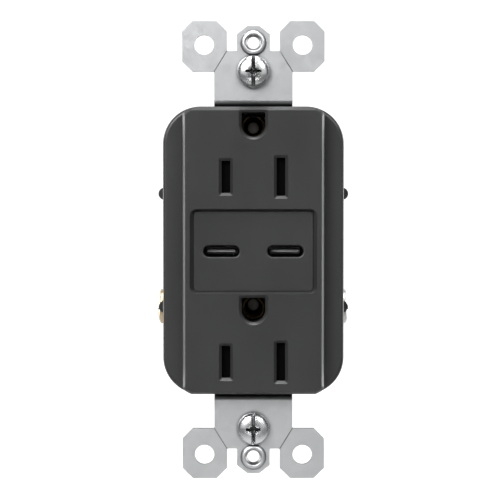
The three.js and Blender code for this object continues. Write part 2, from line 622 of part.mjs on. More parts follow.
// A slit sleeve that grips the ground pin, on a flange that a rivet holds to the strap. Its axis is Y.
function groundContact() {
  const { inner, outer, front, slitHalfAngle: slit } = SLEEVE;
  const back = SEAT_Y - GAP;
  const flangeY = back - SLEEVE.flange;
  const sleeve = new THREE.Shape();
  sleeve.absarc(0, 0, outer, Math.PI / 2 + slit, 2.5 * Math.PI - slit, false);
  sleeve.absarc(0, 0, inner, 2.5 * Math.PI - slit, Math.PI / 2 + slit, true);
  sleeve.closePath();
  const contact = plate(sleeve, front, flangeY + OVERLAP, 10).add(bar("y", outer, [flangeY, back], {}, 16));
  return contact.subtract(bar("y", RIVET.hole, [flangeY - 1, back + 1], {}, 12));
}

function groundRivet() {
  const { headRadius: wide, headHigh, shankRadius: shank, tail, edge } = RIVET;
  const front = SEAT_Y - RIVET.front;
  const back = SEAT_Y + SHEET;
  return turned([
    [0, front],
    [wide - edge, front],
    [wide, front + headHigh / 2],
    [wide, front + headHigh],
    [shank, front + headHigh],
    [shank, back + GAP],
    [wide, back + GAP],
    [wide - edge, back + tail],
    [0, back + tail],
  ], 10);
}

// ---------------------------------------------------------------- shutters
// Shuts both slots at rest; its two windows come in line with them when it has slid to the right.
function shutter() {
  const half = SHUTTER.height / 2;
  let plateSolid = block([SHUTTER.left, SHUTTER.right], [SHUTTER.front, SHUTTER.back], [-half, half]);
  for (const sign of [-1, 1]) {
    const x = sign * BLADE_X - SHUTTER_TRAVEL;
    const across = [x - SHUTTER_WINDOW.halfWidth, x + SHUTTER_WINDOW.halfWidth];
    const along = [-half + SHUTTER_WINDOW.end, half - SHUTTER_WINDOW.end];
    plateSolid = plateSolid.subtract(block(across, [SHUTTER.front - 1, SHUTTER.back + 1], along));
  }
  return plateSolid;
}

function shutterSpring() {
  const { radius, wire, turns, left, right } = SPRING;
  class Helix extends THREE.Curve {
    getPoint(t, target = new THREE.Vector3()) {
      const angle = t * turns * 2 * Math.PI;
      const x = left + wire + t * (right - left - 2 * wire);
      return target.set(x, radius * Math.cos(angle), radius * Math.sin(angle));
    }
  }
  const section = new THREE.Shape(new THREE.EllipseCurve(0, 0, wire, wire).getPoints(4).slice(0, 4));
  return solidOf(new THREE.ExtrudeGeometry(section, { steps: turns * 7, extrudePath: new Helix() }));
}

// Holds the shutter against the face from behind and stops its spring.
function shutterRetainer() {
  const { halfWidth, halfHeight, thick, tabHalf, leftTab, rightTab } = SHUTTER_HOLDER;
  const front = SHUTTER.back + GAP;
  const back = front + thick;
  const tabY = [SHUTTER.front + 0.1, back];
  const tabZ = [-tabHalf, tabHalf];
  let retainer = join(
    block([-halfWidth, halfWidth], [front, back], [-halfHeight, halfHeight]),
    block([rightTab, halfWidth], tabY, tabZ),
    block([-halfWidth, -leftTab], tabY, tabZ),
  );
  for (const side of SIDES) {
    const x = side.sign * BLADE_X;
    const across = [x - SHUTTER_WINDOW.halfWidth, x + SHUTTER_WINDOW.halfWidth];
    const along = [-BLADE_ROOM.halfHeight, BLADE_ROOM.halfHeight];
    retainer = retainer.subtract(block(across, [front - 1, back + 1], along));
  }
  return retainer;
}

// ---------------------------------------------------------------- screws and clamps
// A domed head with its top at height 0 on the local Y axis, and a plain shank below it.
function domedScrew({ headRadius, headHigh, shankRadius, shankLength, sides = 16 }) {
  const rim = 0.35 * headHigh;
  const dome = headHigh - rim;
  const profile = [[0, -headHigh - shankLength], [shankRadius * 0.7, -headHigh - shankLength]];
  profile.push([shankRadius, -headHigh - shankLength + 0.5], [shankRadius, -headHigh]);
  profile.push([headRadius, -headHigh], [headRadius, -dome]);
  for (const angle of [25, 50, 70]) {
    const a = (angle * Math.PI) / 180;
    profile.push([headRadius * Math.cos(a), -dome + dome * Math.sin(a)]);
  }
  profile.push([0, 0]);
  return turned(profile, sides);
}

function slottedScrew(spec) {
  const reach = spec.headRadius + 1;
  const { half, deep } = TERMINAL_SLOT;
  return domedScrew(spec).subtract(block([-reach, reach], [-deep, 1], [-half, half]));
}

// Takes a cross tip or a flat blade: a cross in the middle of one full-width slot.
function mountingScrew() {
  const spec = { ...MOUNT_SCREW, shankLength: MOUNT_SCREW.tip - STRAP_FRONT_Y + GAP };
  const reach = spec.headRadius + 1;
  const { slotHalf, slotDeep, crossReach, crossHalf, crossDeep } = MOUNT_DRIVE;
  return cut(
    domedScrew(spec),
    block([-slotHalf, slotHalf], [-slotDeep, 1], [-reach, reach]),
    block([-crossHalf, crossHalf], [-crossDeep, 1], [-crossReach, crossReach]),
    block([-crossReach, crossReach], [-crossDeep, 1], [-crossHalf, crossHalf]),
  );
}

// A square washer of vulcanised fibre that keeps the mounting screw in the strap.
function screwRetainer() {
  const washer = plate(roundedRect(RETAINER.side, RETAINER.side, 1), 0, RETAINER.thick, 2);
  return washer.subtract(bar("y", MOUNT_SCREW.shankRadius + GAP, [-1, 2], {}, 16));
}

// The square plate that a terminal screw pulls down on the wire, with its outer face at height 0.
function clampPlate() {
  const washer = plate(roundedRect(CLAMP.side, CLAMP.side, CLAMP.radius), -CLAMP.thick, 0, 2);
  return washer.subtract(bar("y", TERMINAL.shankRadius + GAP, [-3, 2], {}, 16));
}

function assemblyScrew() {
  const spec = { ...ASSEMBLY_SCREW, shankRadius: ASSEMBLY_SCREW.radius, sides: 10 };
  const shankLength = HOUSING_BACK_Y - SCREW_SINK + GAP - ASSEMBLY_SCREW.tip;
  const { crossReach, crossHalf, crossDeep } = ASSEMBLY_SCREW;
  return cut(
    domedScrew({ ...spec, shankLength }),
    block([-crossReach, crossReach], [-crossDeep, 1], [-crossHalf, crossHalf]),
    block([-crossHalf, crossHalf], [-crossDeep, 1], [-crossReach, crossReach]),
  );
}

// ---------------------------------------------------------------- USB parts
function usbShell() {
  const { width, height, radius, wall, backWall } = SHELL;
  const front = FACE_Y + PANEL.depth + PANEL.thick + GAP;
  const back = USB_BOARD.front - GAP;
  const inside = roundedRect(width - 2 * wall, height - 2 * wall, radius - wall);
  return plate(roundedRect(width, height, radius), front, back, 3).subtract(
    plate(inside, front - 1, back - backWall, 3));
}

function usbTongue() {
  const { width, thick, front, rootWidth, rootHeight, rootDeep } = TONGUE;
  const back = USB_BOARD.front - GAP - SHELL.backWall - GAP;
  return join(
    block([-width / 2, width / 2], [front, back], [-thick / 2, thick / 2]),
    block([-rootWidth / 2, rootWidth / 2], [back - rootDeep, back], [-rootHeight / 2, rootHeight / 2]),
  );
}

function usbBoard() {
  const { halfWidth, halfHeight, front, thick } = USB_BOARD;
  return plate(roundedRect(2 * halfWidth, 2 * halfHeight, 0.8), front, front + thick, 2);
}

// A plug body on the USB board and the flat ribbon that runs back to the power board.
function boardRibbon() {
  const { halfWidth, halfThick, plugHalfWidth, plugHalfHeight, plugDeep } = RIBBON;
  const front = USB_BOARD.front + USB_BOARD.thick + GAP;
  const back = POWER_BOARD.front - GAP;
  const plug = (y) => block([-plugHalfWidth, plugHalfWidth], y, [-plugHalfHeight, plugHalfHeight]);
  const cableY = [front + plugDeep - OVERLAP, back - plugDeep + OVERLAP];
  return join(
    plug([front, front + plugDeep]),
    block([-halfWidth, halfWidth], cableY, [-halfThick, halfThick]),
    plug([back - plugDeep, back]),
  );
}

// ---------------------------------------------------------------- power supply
const onBoard = POWER_BOARD.front - GAP; // where the parts on the power board end

function powerBoard() {
  const { halfWidth, halfHeight, front, thick } = POWER_BOARD;
  let board = plate(roundedRect(2 * halfWidth, 2 * halfHeight, 2), front, front + thick, 2);
  for (const spot of ASSEMBLY_SPOTS) {
    board = board.subtract(bar("y", ASSEMBLY_SCREW.boss + GAP, [front - 1, front + thick + 1], spot, 12));
  }
  return board;
}

// A ferrite core of two E halves, standing on the board with its windows open along X.
function transformerCore() {
  const { halfWidth, deep, halfHeight, windowY, windowZ } = TRANSFORMER;
  const core = block([-halfWidth, halfWidth], [onBoard - deep, onBoard], [-halfHeight, halfHeight]);
  const windowX = [-halfWidth - 1, halfWidth + 1];
  const depth = windowY.map((y) => onBoard - y);
  return cut(core, block(windowX, depth, windowZ), block(windowX, depth, windowZ.map((z) => -z)));
}

// The taped winding round the core's middle leg.
function transformerWinding() {
  const { halfWidth, y, halfHeight, boreHalfWidth, boreHalfHeight } = WINDING;
  const [front, back] = y.map((fromBoard) => onBoard - fromBoard);
  const winding = block([-halfWidth, halfWidth], [front, back], [-halfHeight, halfHeight]);
  return winding.subtract(
    block([-boreHalfWidth, boreHalfWidth], [front - 1, back + 1], [-boreHalfHeight, boreHalfHeight]));
}

function canCapacitor(radius, height) {
  return turned([
    [0, 0], [radius, 0], [radius, height * 0.08], [radius * 0.92, height * 0.11], [radius, height * 0.14],
    [radius, height - 0.4], [radius - 0.4, height], [radius * 0.7, height], [radius * 0.65, height - 0.2],
    [0, height - 0.2],
  ], 14);
}

// A coated disc on edge, such as a varistor, with its axis along X.
function discPart(radius, thick) {
  return turned([[0, -thick / 2], [radius * 0.8, -thick / 2], [radius, -thick / 4], [radius, thick / 4],
    [radius * 0.8, thick / 2], [0, thick / 2]]);
}

function chokeRing() {
  const { inner, outer, half, round: [wide, deep] } = CHOKE;
  return turned([
    [inner + wide, -half],
    [outer - wide, -half],
    [outer, -half + deep],
    [outer, half - deep],
    [outer - wide, half],
    [inner + wide, half],
    [inner, half - deep],
    [inner, -half + deep],
    [inner + wide, -half],
  ], 16);
}

function fuseTube() {
  const { capRadius: cap, tubeRadius: tube, half, capFrom } = FUSE;
  return turned([
    [0, -half],
    [cap, -half],
    [cap, -capFrom],
    [tube, -capFrom],
    [tube, capFrom],
    [cap, capFrom],
    [cap, half],
    [0, half],
  ], 12);
}

function chip(width, height, thick) {
  return bevelledPlate(roundedRect(width, height, 0.3), -thick, 0, 0.2, 0.3, 1, 1);
}

// An insulated wire from the back of a bus to the power board.
function lead(side) {
  const route = [[13, 14.1, 4], [13, 18, 4.3], [14, 23, 6], [14.6, 28, 7.6], [14.6, onBoard, 8]];
  const path = new THREE.CatmullRomCurve3(route.map(([x, y, z]) => new THREE.Vector3(side.sign * x, y, z)));
  const section = new THREE.Shape(new THREE.EllipseCurve(0, 0, WIRE_RADIUS, WIRE_RADIUS).getPoints(6).slice(0, 6));
  return solidOf(new THREE.ExtrudeGeometry(section, { steps: 10, extrudePath: path }));
}

// ---------------------------------------------------------------- placing everything
addPiece("front_cover", frontCover(), "graphite");
addPiece("usb_panel", usbPanel(), "graphite");
addPiece("mounting_strap", mountingStrap(), "strapSteel");
addPiece("contact_carrier", contactCarrier(), "innerPlastic");
addPiece("rear_housing", rearHousing(), "darkPlastic");
addPiece("insulation_sheet", insulationSheet(), "fibre");

for (const r of RECEPTACLES) {
  const contacts = new THREE.Group();
  contacts.position.z = r.groundZ;
  addPiece(`ground_contact_${r.name}`, groundContact(), "brass", { group: contacts });
  addPiece(`ground_rivet_${r.name}`, groundRivet(), "nickel", { group: contacts });
  const shutterSet = new THREE.Group();
  shutterSet.position.z = r.slotZ;
  addPiece(`shutter_${r.name}`, shutter(), "innerPlastic", { group: shutterSet });
  addPiece(`shutter_retainer_${r.name}`, shutterRetainer(), "darkPlastic", { group: shutterSet });
  const springY = (SHUTTER.front + SHUTTER.back) / 2;
  addPiece(`shutter_spring_${r.name}`, shutterSpring(), "springSteel", { group: shutterSet, at: [0, springY, 0] });
  outlet.add(contacts, shutterSet);
}

const terminalScrewSpec = { ...TERMINAL, shankLength: 7.6 };
const groundScrewSpec = { ...TERMINAL, headRadius: 3.9, shankLength: 5 };
for (const side of SIDES) {
  const turn = [0, 0, side.sign < 0 ? Math.PI / 2 : -Math.PI / 2]; // local +Y becomes the outward X
  const clampX = TERMINAL.headTop - TERMINAL.headHigh - GAP;
  const metal = side.name === "hot" ? "brass" : "nickel";
  addPiece(`${side.name}_bus`, bus(side), "brass");
  addPiece(`${side.name}_terminal_screw`, slottedScrew(terminalScrewSpec), metal, {
    at: [side.sign * TERMINAL.headTop, TERMINAL.y, TERMINAL.z], turn });
  addPiece(`${side.name}_clamp_plate`, clampPlate(), "nickel", {
    at: [side.sign * clampX, TERMINAL.y, TERMINAL.z], turn });
  addPiece(`${side.name}_lead`, lead(side), side.name === "hot" ? "wireBlack" : "wireWhite");
}

const upward = [Math.PI / 2, 0, 0]; // local +Y becomes +Z
const groundClampZ = GROUND_TERMINAL.headTop - TERMINAL.headHigh - GAP;
addPiece("ground_terminal_screw", slottedScrew(groundScrewSpec), "greenSteel", {
  at: [GROUND_TERMINAL.x, GROUND_TERMINAL.y, GROUND_TERMINAL.headTop], turn: upward });
addPiece("ground_clamp_plate", clampPlate(), "nickel", {
  at: [GROUND_TERMINAL.x, GROUND_TERMINAL.y, groundClampZ], turn: upward });

for (const [name, sign] of [["top", 1], ["bottom", -1]]) {
  const headTopY = STRAP_FRONT_Y - GAP - MOUNT_SCREW.headHigh;
  addPiece(`mounting_screw_${name}`, mountingScrew(), "screwSteel", {
    at: [0, headTopY, sign * MOUNT_SCREW.z], turn: [Math.PI, 0, 0] });
  addPiece(`screw_retainer_${name}`, screwRetainer(), "fibre", { at: [0, RETAINER.front, sign * MOUNT_SCREW.z] });
}

for (const spot of ASSEMBLY_SPOTS) {
  const headTopY = HOUSING_BACK_Y - SCREW_SINK + GAP + ASSEMBLY_SCREW.headHigh;
  addPiece(`assembly_screw_${spot.name}`, assemblyScrew(), "screwSteel", { at: [spot.x, headTopY, spot.z] });
}

for (const side of SIDES) {
  addPiece(`usb_shell_${side.hand}`, usbShell(), "nickel", { at: [side.sign * PORT_X, 0, 0] });
  addPiece(`usb_tongue_${side.hand}`, usbTongue(), "chipBlack", { at: [side.sign * PORT_X, 0, 0] });
}
addPiece("usb_board", usbBoard(), "board");
addPiece("board_ribbon", boardRibbon(), "wireWhite");

addPiece("power_board", powerBoard(), "board");
const transformer = new THREE.Group();
transformer.position.set(-1, 0, 13.5);
addPiece("transformer_core", transformerCore(), "ferrite", { group: transformer });
addPiece("transformer_winding", transformerWinding(), "windingTape", { group: transformer });
outlet.add(transformer);
const standing = [Math.PI, 0, 0]; // a can that stands on the board and points to the front
const cans = [
  ["bulk_capacitor_left", 4.1, 12, -5.5, -23.5],
  ["bulk_capacitor_right", 4.1, 12, 5.5, -23.5],
  ["output_capacitor_left", 3.1, 8.5, -14.2, -1.2],
  ["output_capacitor_right", 3.1, 8.5, 14.2, -1.2],
];
for (const [name, radius, height, x, z] of cans) {
  addPiece(name, canCapacitor(radius, height), "capacitorSleeve", { at: [x, onBoard, z], turn: standing });
}
addPiece("choke", chokeRing(), "ferrite", { at: [-6, onBoard - 2.2, -11] });
addPiece("varistor", discPart(3.6, 2.6), "ceramicBlue", { at: [5, onBoard - 3.6, -9], turn: [0, 0, Math.PI / 2] });
addPiece("safety_capacitor", discPart(3.2, 2.4), "ceramicBlue", {
  at: [8.5, onBoard - 3.2, -9], turn: [0, 0, Math.PI / 2] });
addPiece("fuse", fuseTube(), "nickel", { at: [-14.5, onBoard - 1.8, 13.6], turn: [Math.PI / 2, 0, 0] });
addPiece("bridge_rectifier", chip(6.5, 5, 2.4), "chipBlack", { at: [10.5, onBoard, 14] });
addPiece("power_controller", chip(5, 6, 1.6), "chipBlack", { at: [-11, onBoard, 25] });
addPiece("usb_controller", chip(5, 5, 1.2), "chipBlack", {
  at: [0, USB_BOARD.front + USB_BOARD.thick + GAP + 1.2, 5.6] });

export default outlet;
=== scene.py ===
"""Looks for the duplex wall outlet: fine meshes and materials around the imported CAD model.

Sizes are in millimetres here and are turned into metres as meshes are made. X is to the right, Y goes into
the wall and Z is up, as in the CAD frame.
"""

import json
import math

import bmesh
import bpy
from mathutils import Matrix, Vector

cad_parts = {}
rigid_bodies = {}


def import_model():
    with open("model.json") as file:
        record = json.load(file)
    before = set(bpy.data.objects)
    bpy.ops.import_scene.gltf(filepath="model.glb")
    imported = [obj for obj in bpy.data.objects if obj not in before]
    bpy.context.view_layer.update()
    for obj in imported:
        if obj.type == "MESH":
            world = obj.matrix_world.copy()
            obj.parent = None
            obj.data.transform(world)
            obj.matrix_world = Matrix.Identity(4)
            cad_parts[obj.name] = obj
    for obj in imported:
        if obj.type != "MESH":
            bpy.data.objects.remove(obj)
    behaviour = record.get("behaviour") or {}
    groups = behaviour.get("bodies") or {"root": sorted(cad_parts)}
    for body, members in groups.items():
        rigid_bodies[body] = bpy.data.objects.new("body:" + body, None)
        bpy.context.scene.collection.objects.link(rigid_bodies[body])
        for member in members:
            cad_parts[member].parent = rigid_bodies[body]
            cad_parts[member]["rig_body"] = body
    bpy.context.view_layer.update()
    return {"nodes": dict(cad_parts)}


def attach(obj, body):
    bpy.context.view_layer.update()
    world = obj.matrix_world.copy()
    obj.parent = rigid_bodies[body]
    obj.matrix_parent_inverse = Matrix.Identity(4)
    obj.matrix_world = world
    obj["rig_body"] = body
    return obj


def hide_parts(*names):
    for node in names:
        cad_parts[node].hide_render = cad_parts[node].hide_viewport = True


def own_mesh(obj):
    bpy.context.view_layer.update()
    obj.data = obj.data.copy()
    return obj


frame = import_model()

MM = 0.001

# ---------------------------------------------------------------- driving dimensions, as in the CAD
FACE_Y = -6.6
SHOULDER_Y = -2.6
STRAP_FRONT_Y = -1.2
COVER_BACK_Y = 14.6
SEAT_Y = 15.0
HOUSING_FRONT_Y = 14.9
HOUSING_BACK_Y = 36.0

BODY_WIDTH, BODY_HEIGHT, BODY_RADIUS = 42.2, 67.2, 8.8
SHOULDER_ROUND = 0.9
FACE_WIDTH, FACE_HEIGHT = 32.7, 66.3
FACE_CORNER_X, FACE_CORNER_Z, FACE_CORNER_ROUND = 1.9, 1.0, 1.3
FACE_SLOPE_WIDE, FACE_SLOPE_DEEP = 0.58, 1.1
FACE_BACK_Y = -1.5
COVER_WALL, COVER_END_WALL = 1.6, 1.65
FACE_WALL, FACE_POCKET_WIDTH, FACE_POCKET_HEIGHT = 1.6, 29.8, 63.2
LUG_Z, LUG_RADIUS, LUG_REACH = 13.3, 1.45, 22.3
LUG_FRONT_Y, LUG_BACK_Y, LUG_ROUND = 1.0, 8.0, 0.2

SLOT_CENTRES_Z = {"upper": 17.2, "lower": -25.6}
GROUND_CENTRES_Z = {"upper": 29.15, "lower": -13.65}
BLADE_X = 6.35
SLOT_WIDTH = 2.0
SLOT_HEIGHTS = {-1: 7.4, 1: 8.8}
GROUND_RADIUS, GROUND_TOP = 2.73, 2.9
SLOT_CHAMFER = 0.65

PANEL_WIDTH, PANEL_HEIGHT, PANEL_RADIUS = 29.4, 19.6, 1.6
PANEL_SLOPE_X, PANEL_SLOPE_Z, PANEL_DEPTH = 0.8, 0.5, 1.1
PANEL_THICK, PANEL_FIT = 2.0, 0.06
FLANGE_WIDTH, FLANGE_HEIGHT, FLANGE_THICK = 29.0, 20.4, 1.0
PORT_X, PORT_WIDTH, PORT_HEIGHT = 7.4, 8.3, 2.65
SHELL_WIDTH, SHELL_HEIGHT, SHELL_WALL, SHELL_BACK_Y = 9.0, 3.3, 0.3, 5.5
TONGUE_WIDTH, TONGUE_THICK = 6.4, 0.56
TONGUE_FRONT_Y, TONGUE_BACK_Y, TONGUE_ROOT_DEEP = -2.7, 4.4, 2.2
STRIPS, STRIP_PITCH, STRIP_HALF = 12, 0.5, 0.13

SHEET = 1.2
BEND_INSIDE = 0.4
NECK_HALF = 9.13
NECK_END_Z = 35.4
STRAP_TOP_Z = 53.45
EAR_INNER, EAR_OUTER, EAR_BOTTOM, EAR_CHAMFER = 6.18, 16.58, 41.74, 2.4
TAB_HALF, TAB_TOP, TAB_CHAMFER_X, TAB_CHAMFER_Z = 3.85, 52.3, 2.46, 1.9
NOTCH_Z = 46.5
EAR_HOLE_X, EAR_HOLE_Z, EAR_HOLE_RADIUS = 11.47, 47.93, 2.3
PLATE_HOLE_Z, PLATE_HOLE_RADIUS = 48.42, 1.42
RING_FOOT, RING_RIDGE, RING_HIGH = 3.02, 2.15, 0.8
MOUNT_SLOT_WIDTH, MOUNT_SLOT_HEIGHT, MOUNT_SLOT_RADIUS = 6.2, 4.2, 2.05
SCORE_HALF, SCORE_FLOOR_HALF, SCORE_DEEP, SCORE_REACH = 0.14, 0.08, 0.24, 3.6
GROUND_TAB_LEFT, GROUND_TAB_RIGHT, GROUND_ARM_BOTTOM, GROUND_TAB_BACK_Y = 9.5, 17.7, 27, 24.7
RIVET_HOLE, SEAT_WINDOW_X, SEAT_WINDOW_Z = 1.3, 6.5, 3.5

MOUNT_Z, MOUNT_HEAD_RADIUS, MOUNT_HEAD_HIGH = 41.67, 3.75, 2.3
MOUNT_SHANK, MOUNT_RIM, MOUNT_TIP_Y = 1.7, 0.75, 22.0
WASHER_SIDE, WASHER_FRONT_Y, WASHER_BACK_Y, WASHER_HOLE = 8, 7.0, 7.6, 1.95
TERMINAL_Y, TERMINAL_Z, TERMINAL_TOP = 20.5, -14.5, 23.6
TERMINAL_HEAD_RADIUS, TERMINAL_HEAD_HIGH, TERMINAL_RIM = 4.3, 2.6, 1.5
TERMINAL_SHANK, TERMINAL_HOLE = 2.05, 2.35
GROUND_SCREW_X, GROUND_SCREW_TOP, GROUND_HEAD_RADIUS = 13.6, 33.75, 3.9
CLAMP_SIDE, CLAMP_THICK = 8.4, 1.1
CLAMP_GROOVES_X, CLAMP_GROOVE_PITCH = 3.2, 0.45
THREAD_PITCH, THREAD_DEPTH = 0.794, 0.34
GAP = 0.3
BEYOND = 5  # how far a cutter goes past the surface that it opens
ASSEMBLY_SPOTS = {
    "upper_left": (-17.2, 20.5),
    "upper_right": (17.2, 20.5),
    "lower_left": (-17.2, -25.6),
    "lower_right": (17.2, -25.6),
}
ASSEMBLY_HEAD_RADIUS, ASSEMBLY_HEAD_HIGH, ASSEMBLY_SHANK = 2.1, 1.5, 1.1
ASSEMBLY_SINK, ASSEMBLY_TIP_Y, BOSS_RADIUS = 1.2, 3.5, 2.1
ASSEMBLY_PITCH, ASSEMBLY_THREAD_DEPTH, ASSEMBLY_THREAD_LENGTH = 0.9, 0.25, 9

HOUSING_WIDTH, HOUSING_HEIGHT, HOUSING_WALL, HOUSING_RADIUS = 40.0, 62.0, 1.6, 5.0
HOUSING_ROUND = 0.8
POCKET_INNER, POCKET_HALF, POCKET_WALL, POCKET_PAST_SCREW = 12.6, 5.3, 1.3, 5.1
GROUND_POCKET_LEFT, GROUND_POCKET_BOTTOM, GROUND_POCKET_RIGHT_WALL = 9.2, 24.8, 3
RIVET_ROOM_RADIUS, RIVET_ROOM_BACK_Y = 2, 17.3
VENTS_X, VENT_Z, VENT_WIDTH, VENT_HEIGHT, VENT_DEEP = (-8, -2.7, 2.7, 8), 19.5, 3, 1, 2.5

SPRING_RADIUS, SPRING_WIRE, SPRING_TURNS = 0.68, 0.16, 5
SPRING_FROM_X, SPRING_TO_X, SPRING_Y = 8.8, 13.3, -3.8

TENT_LIGHT = 0.66
CAMERA_DISTANCE = 381.8


# ---------------------------------------------------------------- outlines, as (x, z) points
def arc(x, z, radius, start, end, steps):
    """Points round a circle, from one angle in degrees to another, both ends kept."""
    angles = [math.radians(start + (end - start) * k / steps) for k in range(steps + 1)]
    return [(x + radius * math.cos(a), z + radius * math.sin(a)) for a in angles]


def circle(x, z, radius, sides=24):
    return arc(x, z, radius, 0, 360 - 360 / sides, sides - 1)


def rounded_rect(width, height, radius, x=0.0, z=0.0, steps=8):
    w, h = width / 2 - radius, height / 2 - radius
    corners = [(w, h, 0), (-w, h, 90), (-w, -h, 180), (w, -h, 270)]
    points = []
    for cx, cz, start in corners:
        points += arc(x + cx, z + cz, radius, start, start + 90, steps)
    return points


def inset_polygon(points, distance):
    """A polygon listed counter-clockwise, with each side moved inwards by a distance."""
    moved = []
    count = len(points)
    for k in range(count):
        before, here, after = (Vector(points[(k + j) % count]) for j in (-1, 0, 1))
        into, out = (here - before).normalized(), (after - here).normalized()
        normal_in, normal_out = Vector((-into.y, into.x)), Vector((-out.y, out.x))
        bisector = (normal_in + normal_out).normalized()
        moved.append(tuple(here + bisector * (distance / max(bisector.dot(normal_in), 0.2))))
    return moved


def filleted(points, radius, steps=4):
    """A polygon with each corner replaced by an arc that keeps to the sides."""
    rounded = []
    count = len(points)
    for k in range(count):
        before, here, after = (Vector(points[(k + j) % count]) for j in (-1, 0, 1))
        to_before, to_after = (before - here).normalized(), (after - here).normalized()
        half = to_before.angle(to_after) / 2
        reach = min(radius / math.tan(half), 0.45 * (before - here).length, 0.45 * (after - here).length)
        centre = here + (to_before + to_after).normalized() * (reach / math.cos(half))
        start, end = here + to_before * reach, here + to_after * reach
        for j in range(steps + 1):
            t = j / steps
            chord = start.lerp(end, t) - centre
            size = (start - centre).length
            rounded.append(tuple(centre + chord.normalized() * size))
    return rounded


def ground_hole_outline(z, extra=0.0, steps=28):
    radius = GROUND_RADIUS + extra
    top = GROUND_TOP + extra
    corner = 0.35
    points = arc(radius - corner, z + top - corner, corner, 0, 90, 4)
    points += arc(-radius + corner, z + top - corner, corner, 90, 180, 4)
    return points + arc(0, z, radius, 180, 360, steps)


# ---------------------------------------------------------------- meshes
def piece_from(name, points, faces):
    mesh = bpy.data.meshes.new(name)
    mesh.from_pydata([tuple(c * MM for c in p) for p in points], [], faces)
    mesh.validate()
    obj = bpy.data.objects.new(name, mesh)
    bpy.context.scene.collection.objects.link(obj)
    face_outwards(obj)
    return obj


def face_outwards(obj):
    work = bmesh.new()
    work.from_mesh(obj.data)
    bmesh.ops.remove_doubles(work, verts=work.verts, dist=1e-7)
    bmesh.ops.recalc_face_normals(work, faces=work.faces)
    work.to_mesh(obj.data)
    work.free()


def skin(name, rings):
    """A closed body through rings of 3-D points, each with the same count, capped at both ends."""
    count = len(rings[0])
    points = [p for ring in rings for p in ring]
    faces = []
    for r in range(len(rings) - 1):
        for k in range(count):
            a, b = r * count + k, r * count + (k + 1) % count
            faces.append((a, b, b + count, a + count))
    faces.append(tuple(range(count)))
    faces.append(tuple(range(len(points) - count, len(points))))
    return piece_from(name, points, faces)


def layered(name, layers):
    """A body from (y, outline) layers, front to back."""
    return skin(name, [[(x, y, z) for x, z in outline] for y, outline in layers])


def prism(name, outline, front, back):
    return layered(name, [(front, outline), (back, outline)])


def block(name, xs, ys, zs):
    (xa, xb), (za, zb) = sorted(xs), sorted(zs)
    return prism(name, [(xb, zb), (xa, zb), (xa, za), (xb, za)], min(ys), max(ys))


def rounded_layers(make_outline, front, back, radius, steps, round_back=True):
    """Layers whose front edge, and back edge too if asked, is a quarter circle."""
    layers = []
    for k in range(steps + 1):
        a = math.radians(90 * k / steps)
        layers.append((front + radius * (1 - math.sin(a)), make_outline(radius * (1 - math.cos(a)))))
    layers.reverse()
    if round_back:
        mirrored = [(front + back - y, outline) for y, outline in layers]
        return layers + mirrored[::-1]
    return layers + [(back, layers[-1][1])]


def slab(name, width, height, radius, ys, edge, edge_steps, at=(0.0, 0.0), steps=8, round_back=True):
    """A rounded rectangle between two depths, with its edges rounded too."""
    return layered(name, rounded_layers(
        lambda d: rounded_rect(width - 2 * d, height - 2 * d, radius - d, *at, steps),
        *ys, edge, edge_steps, round_back))


def turned(name, profile, segments, thread=None):
    """A (radius, height) profile turned round +Y, with an optional thread (from, to, pitch, depth)."""
    stations = []
    for (r0, h0), (r1, h1) in zip(profile, profile[1:]):
        stations.append((r0, h0))
        if thread and abs(r0 - r1) < 1e-6 and abs(h1 - h0) > thread[2]:
            steps = int(abs(h1 - h0) / thread[2] * 6)
            stations += [(r0, h0 + (h1 - h0) * k / steps) for k in range(1, steps)]
    stations.append(profile[-1])
    points, rings = [], []
    for radius, height in stations:
        if radius < 1e-6:
            rings.append([len(points)])
            points.append((0, height, 0))
            continue
        ring = []
        for k in range(segments):
            turn = k / segments
            a = 2 * math.pi * turn
            reach = radius
            if thread and thread[0] < height < thread[1]:
                fade = min(1, (height - thread[0]) / thread[2], (thread[1] - height) / thread[2])
                phase = (height / thread[2] + turn) % 1
                reach -= thread[3] * fade * (1 - abs(2 * phase - 1)) ** 0.8
            ring.append(len(points))
            points.append((reach * math.cos(a), height, reach * math.sin(a)))
        rings.append(ring)
    faces = []
    for first, second in zip(rings, rings[1:]):
        for k in range(segments):
            j = (k + 1) % segments
            corners = [
                first[k % len(first)],
                first[j % len(first)],
                second[j % len(second)],
                second[k % len(second)],
            ]
            faces.append(tuple(dict.fromkeys(corners)))
    return piece_from(name, points, [f for f in faces if len(f) > 2])


def wire(name, path, radius, sides=8):
    """A round wire along 3-D points."""
    angles = [2 * math.pi * j / sides for j in range(sides)]
    offsets = [(radius * math.cos(a), radius * math.sin(a)) for a in angles]
    points = [Vector(p) for p in path]
    rings = []
    up = Vector((0, 0, 1))
    for k, here in enumerate(points):
        along = (points[min(k + 1, len(points) - 1)] - points[max(k - 1, 0)]).normalized()
        side = along.cross(up)
        if side.length < 1e-3:
            side = along.cross(Vector((1, 0, 0)))
        side.normalize()
        up = side.cross(along).normalized()
        rings.append([tuple(here + side * u + up * v) for u, v in offsets])
    return skin(name, rings)


def settle(obj):
    """Applies the modifiers of a piece to its mesh."""
    bpy.context.view_layer.update()
    shaped = obj.evaluated_get(bpy.context.evaluated_depsgraph_get())
    mesh = bpy.data.meshes.new_from_object(shaped)
    before = obj.data
    obj.modifiers.clear()
    obj.data = mesh
    mesh.name = obj.name
    bpy.data.meshes.remove(before)
    return obj


def combine(obj, others, operation):
    """A boolean of a piece with others, which are used up."""
    for other in others:
        modifier = obj.modifiers.new("combine", "BOOLEAN")
        modifier.operation = operation
        modifier.solver = "EXACT"
        modifier.object = other
    settle(obj)
    for other in others:
        bpy.data.objects.remove(other)
    return obj


def cut(obj, *others):
    return combine(obj, others, "DIFFERENCE")


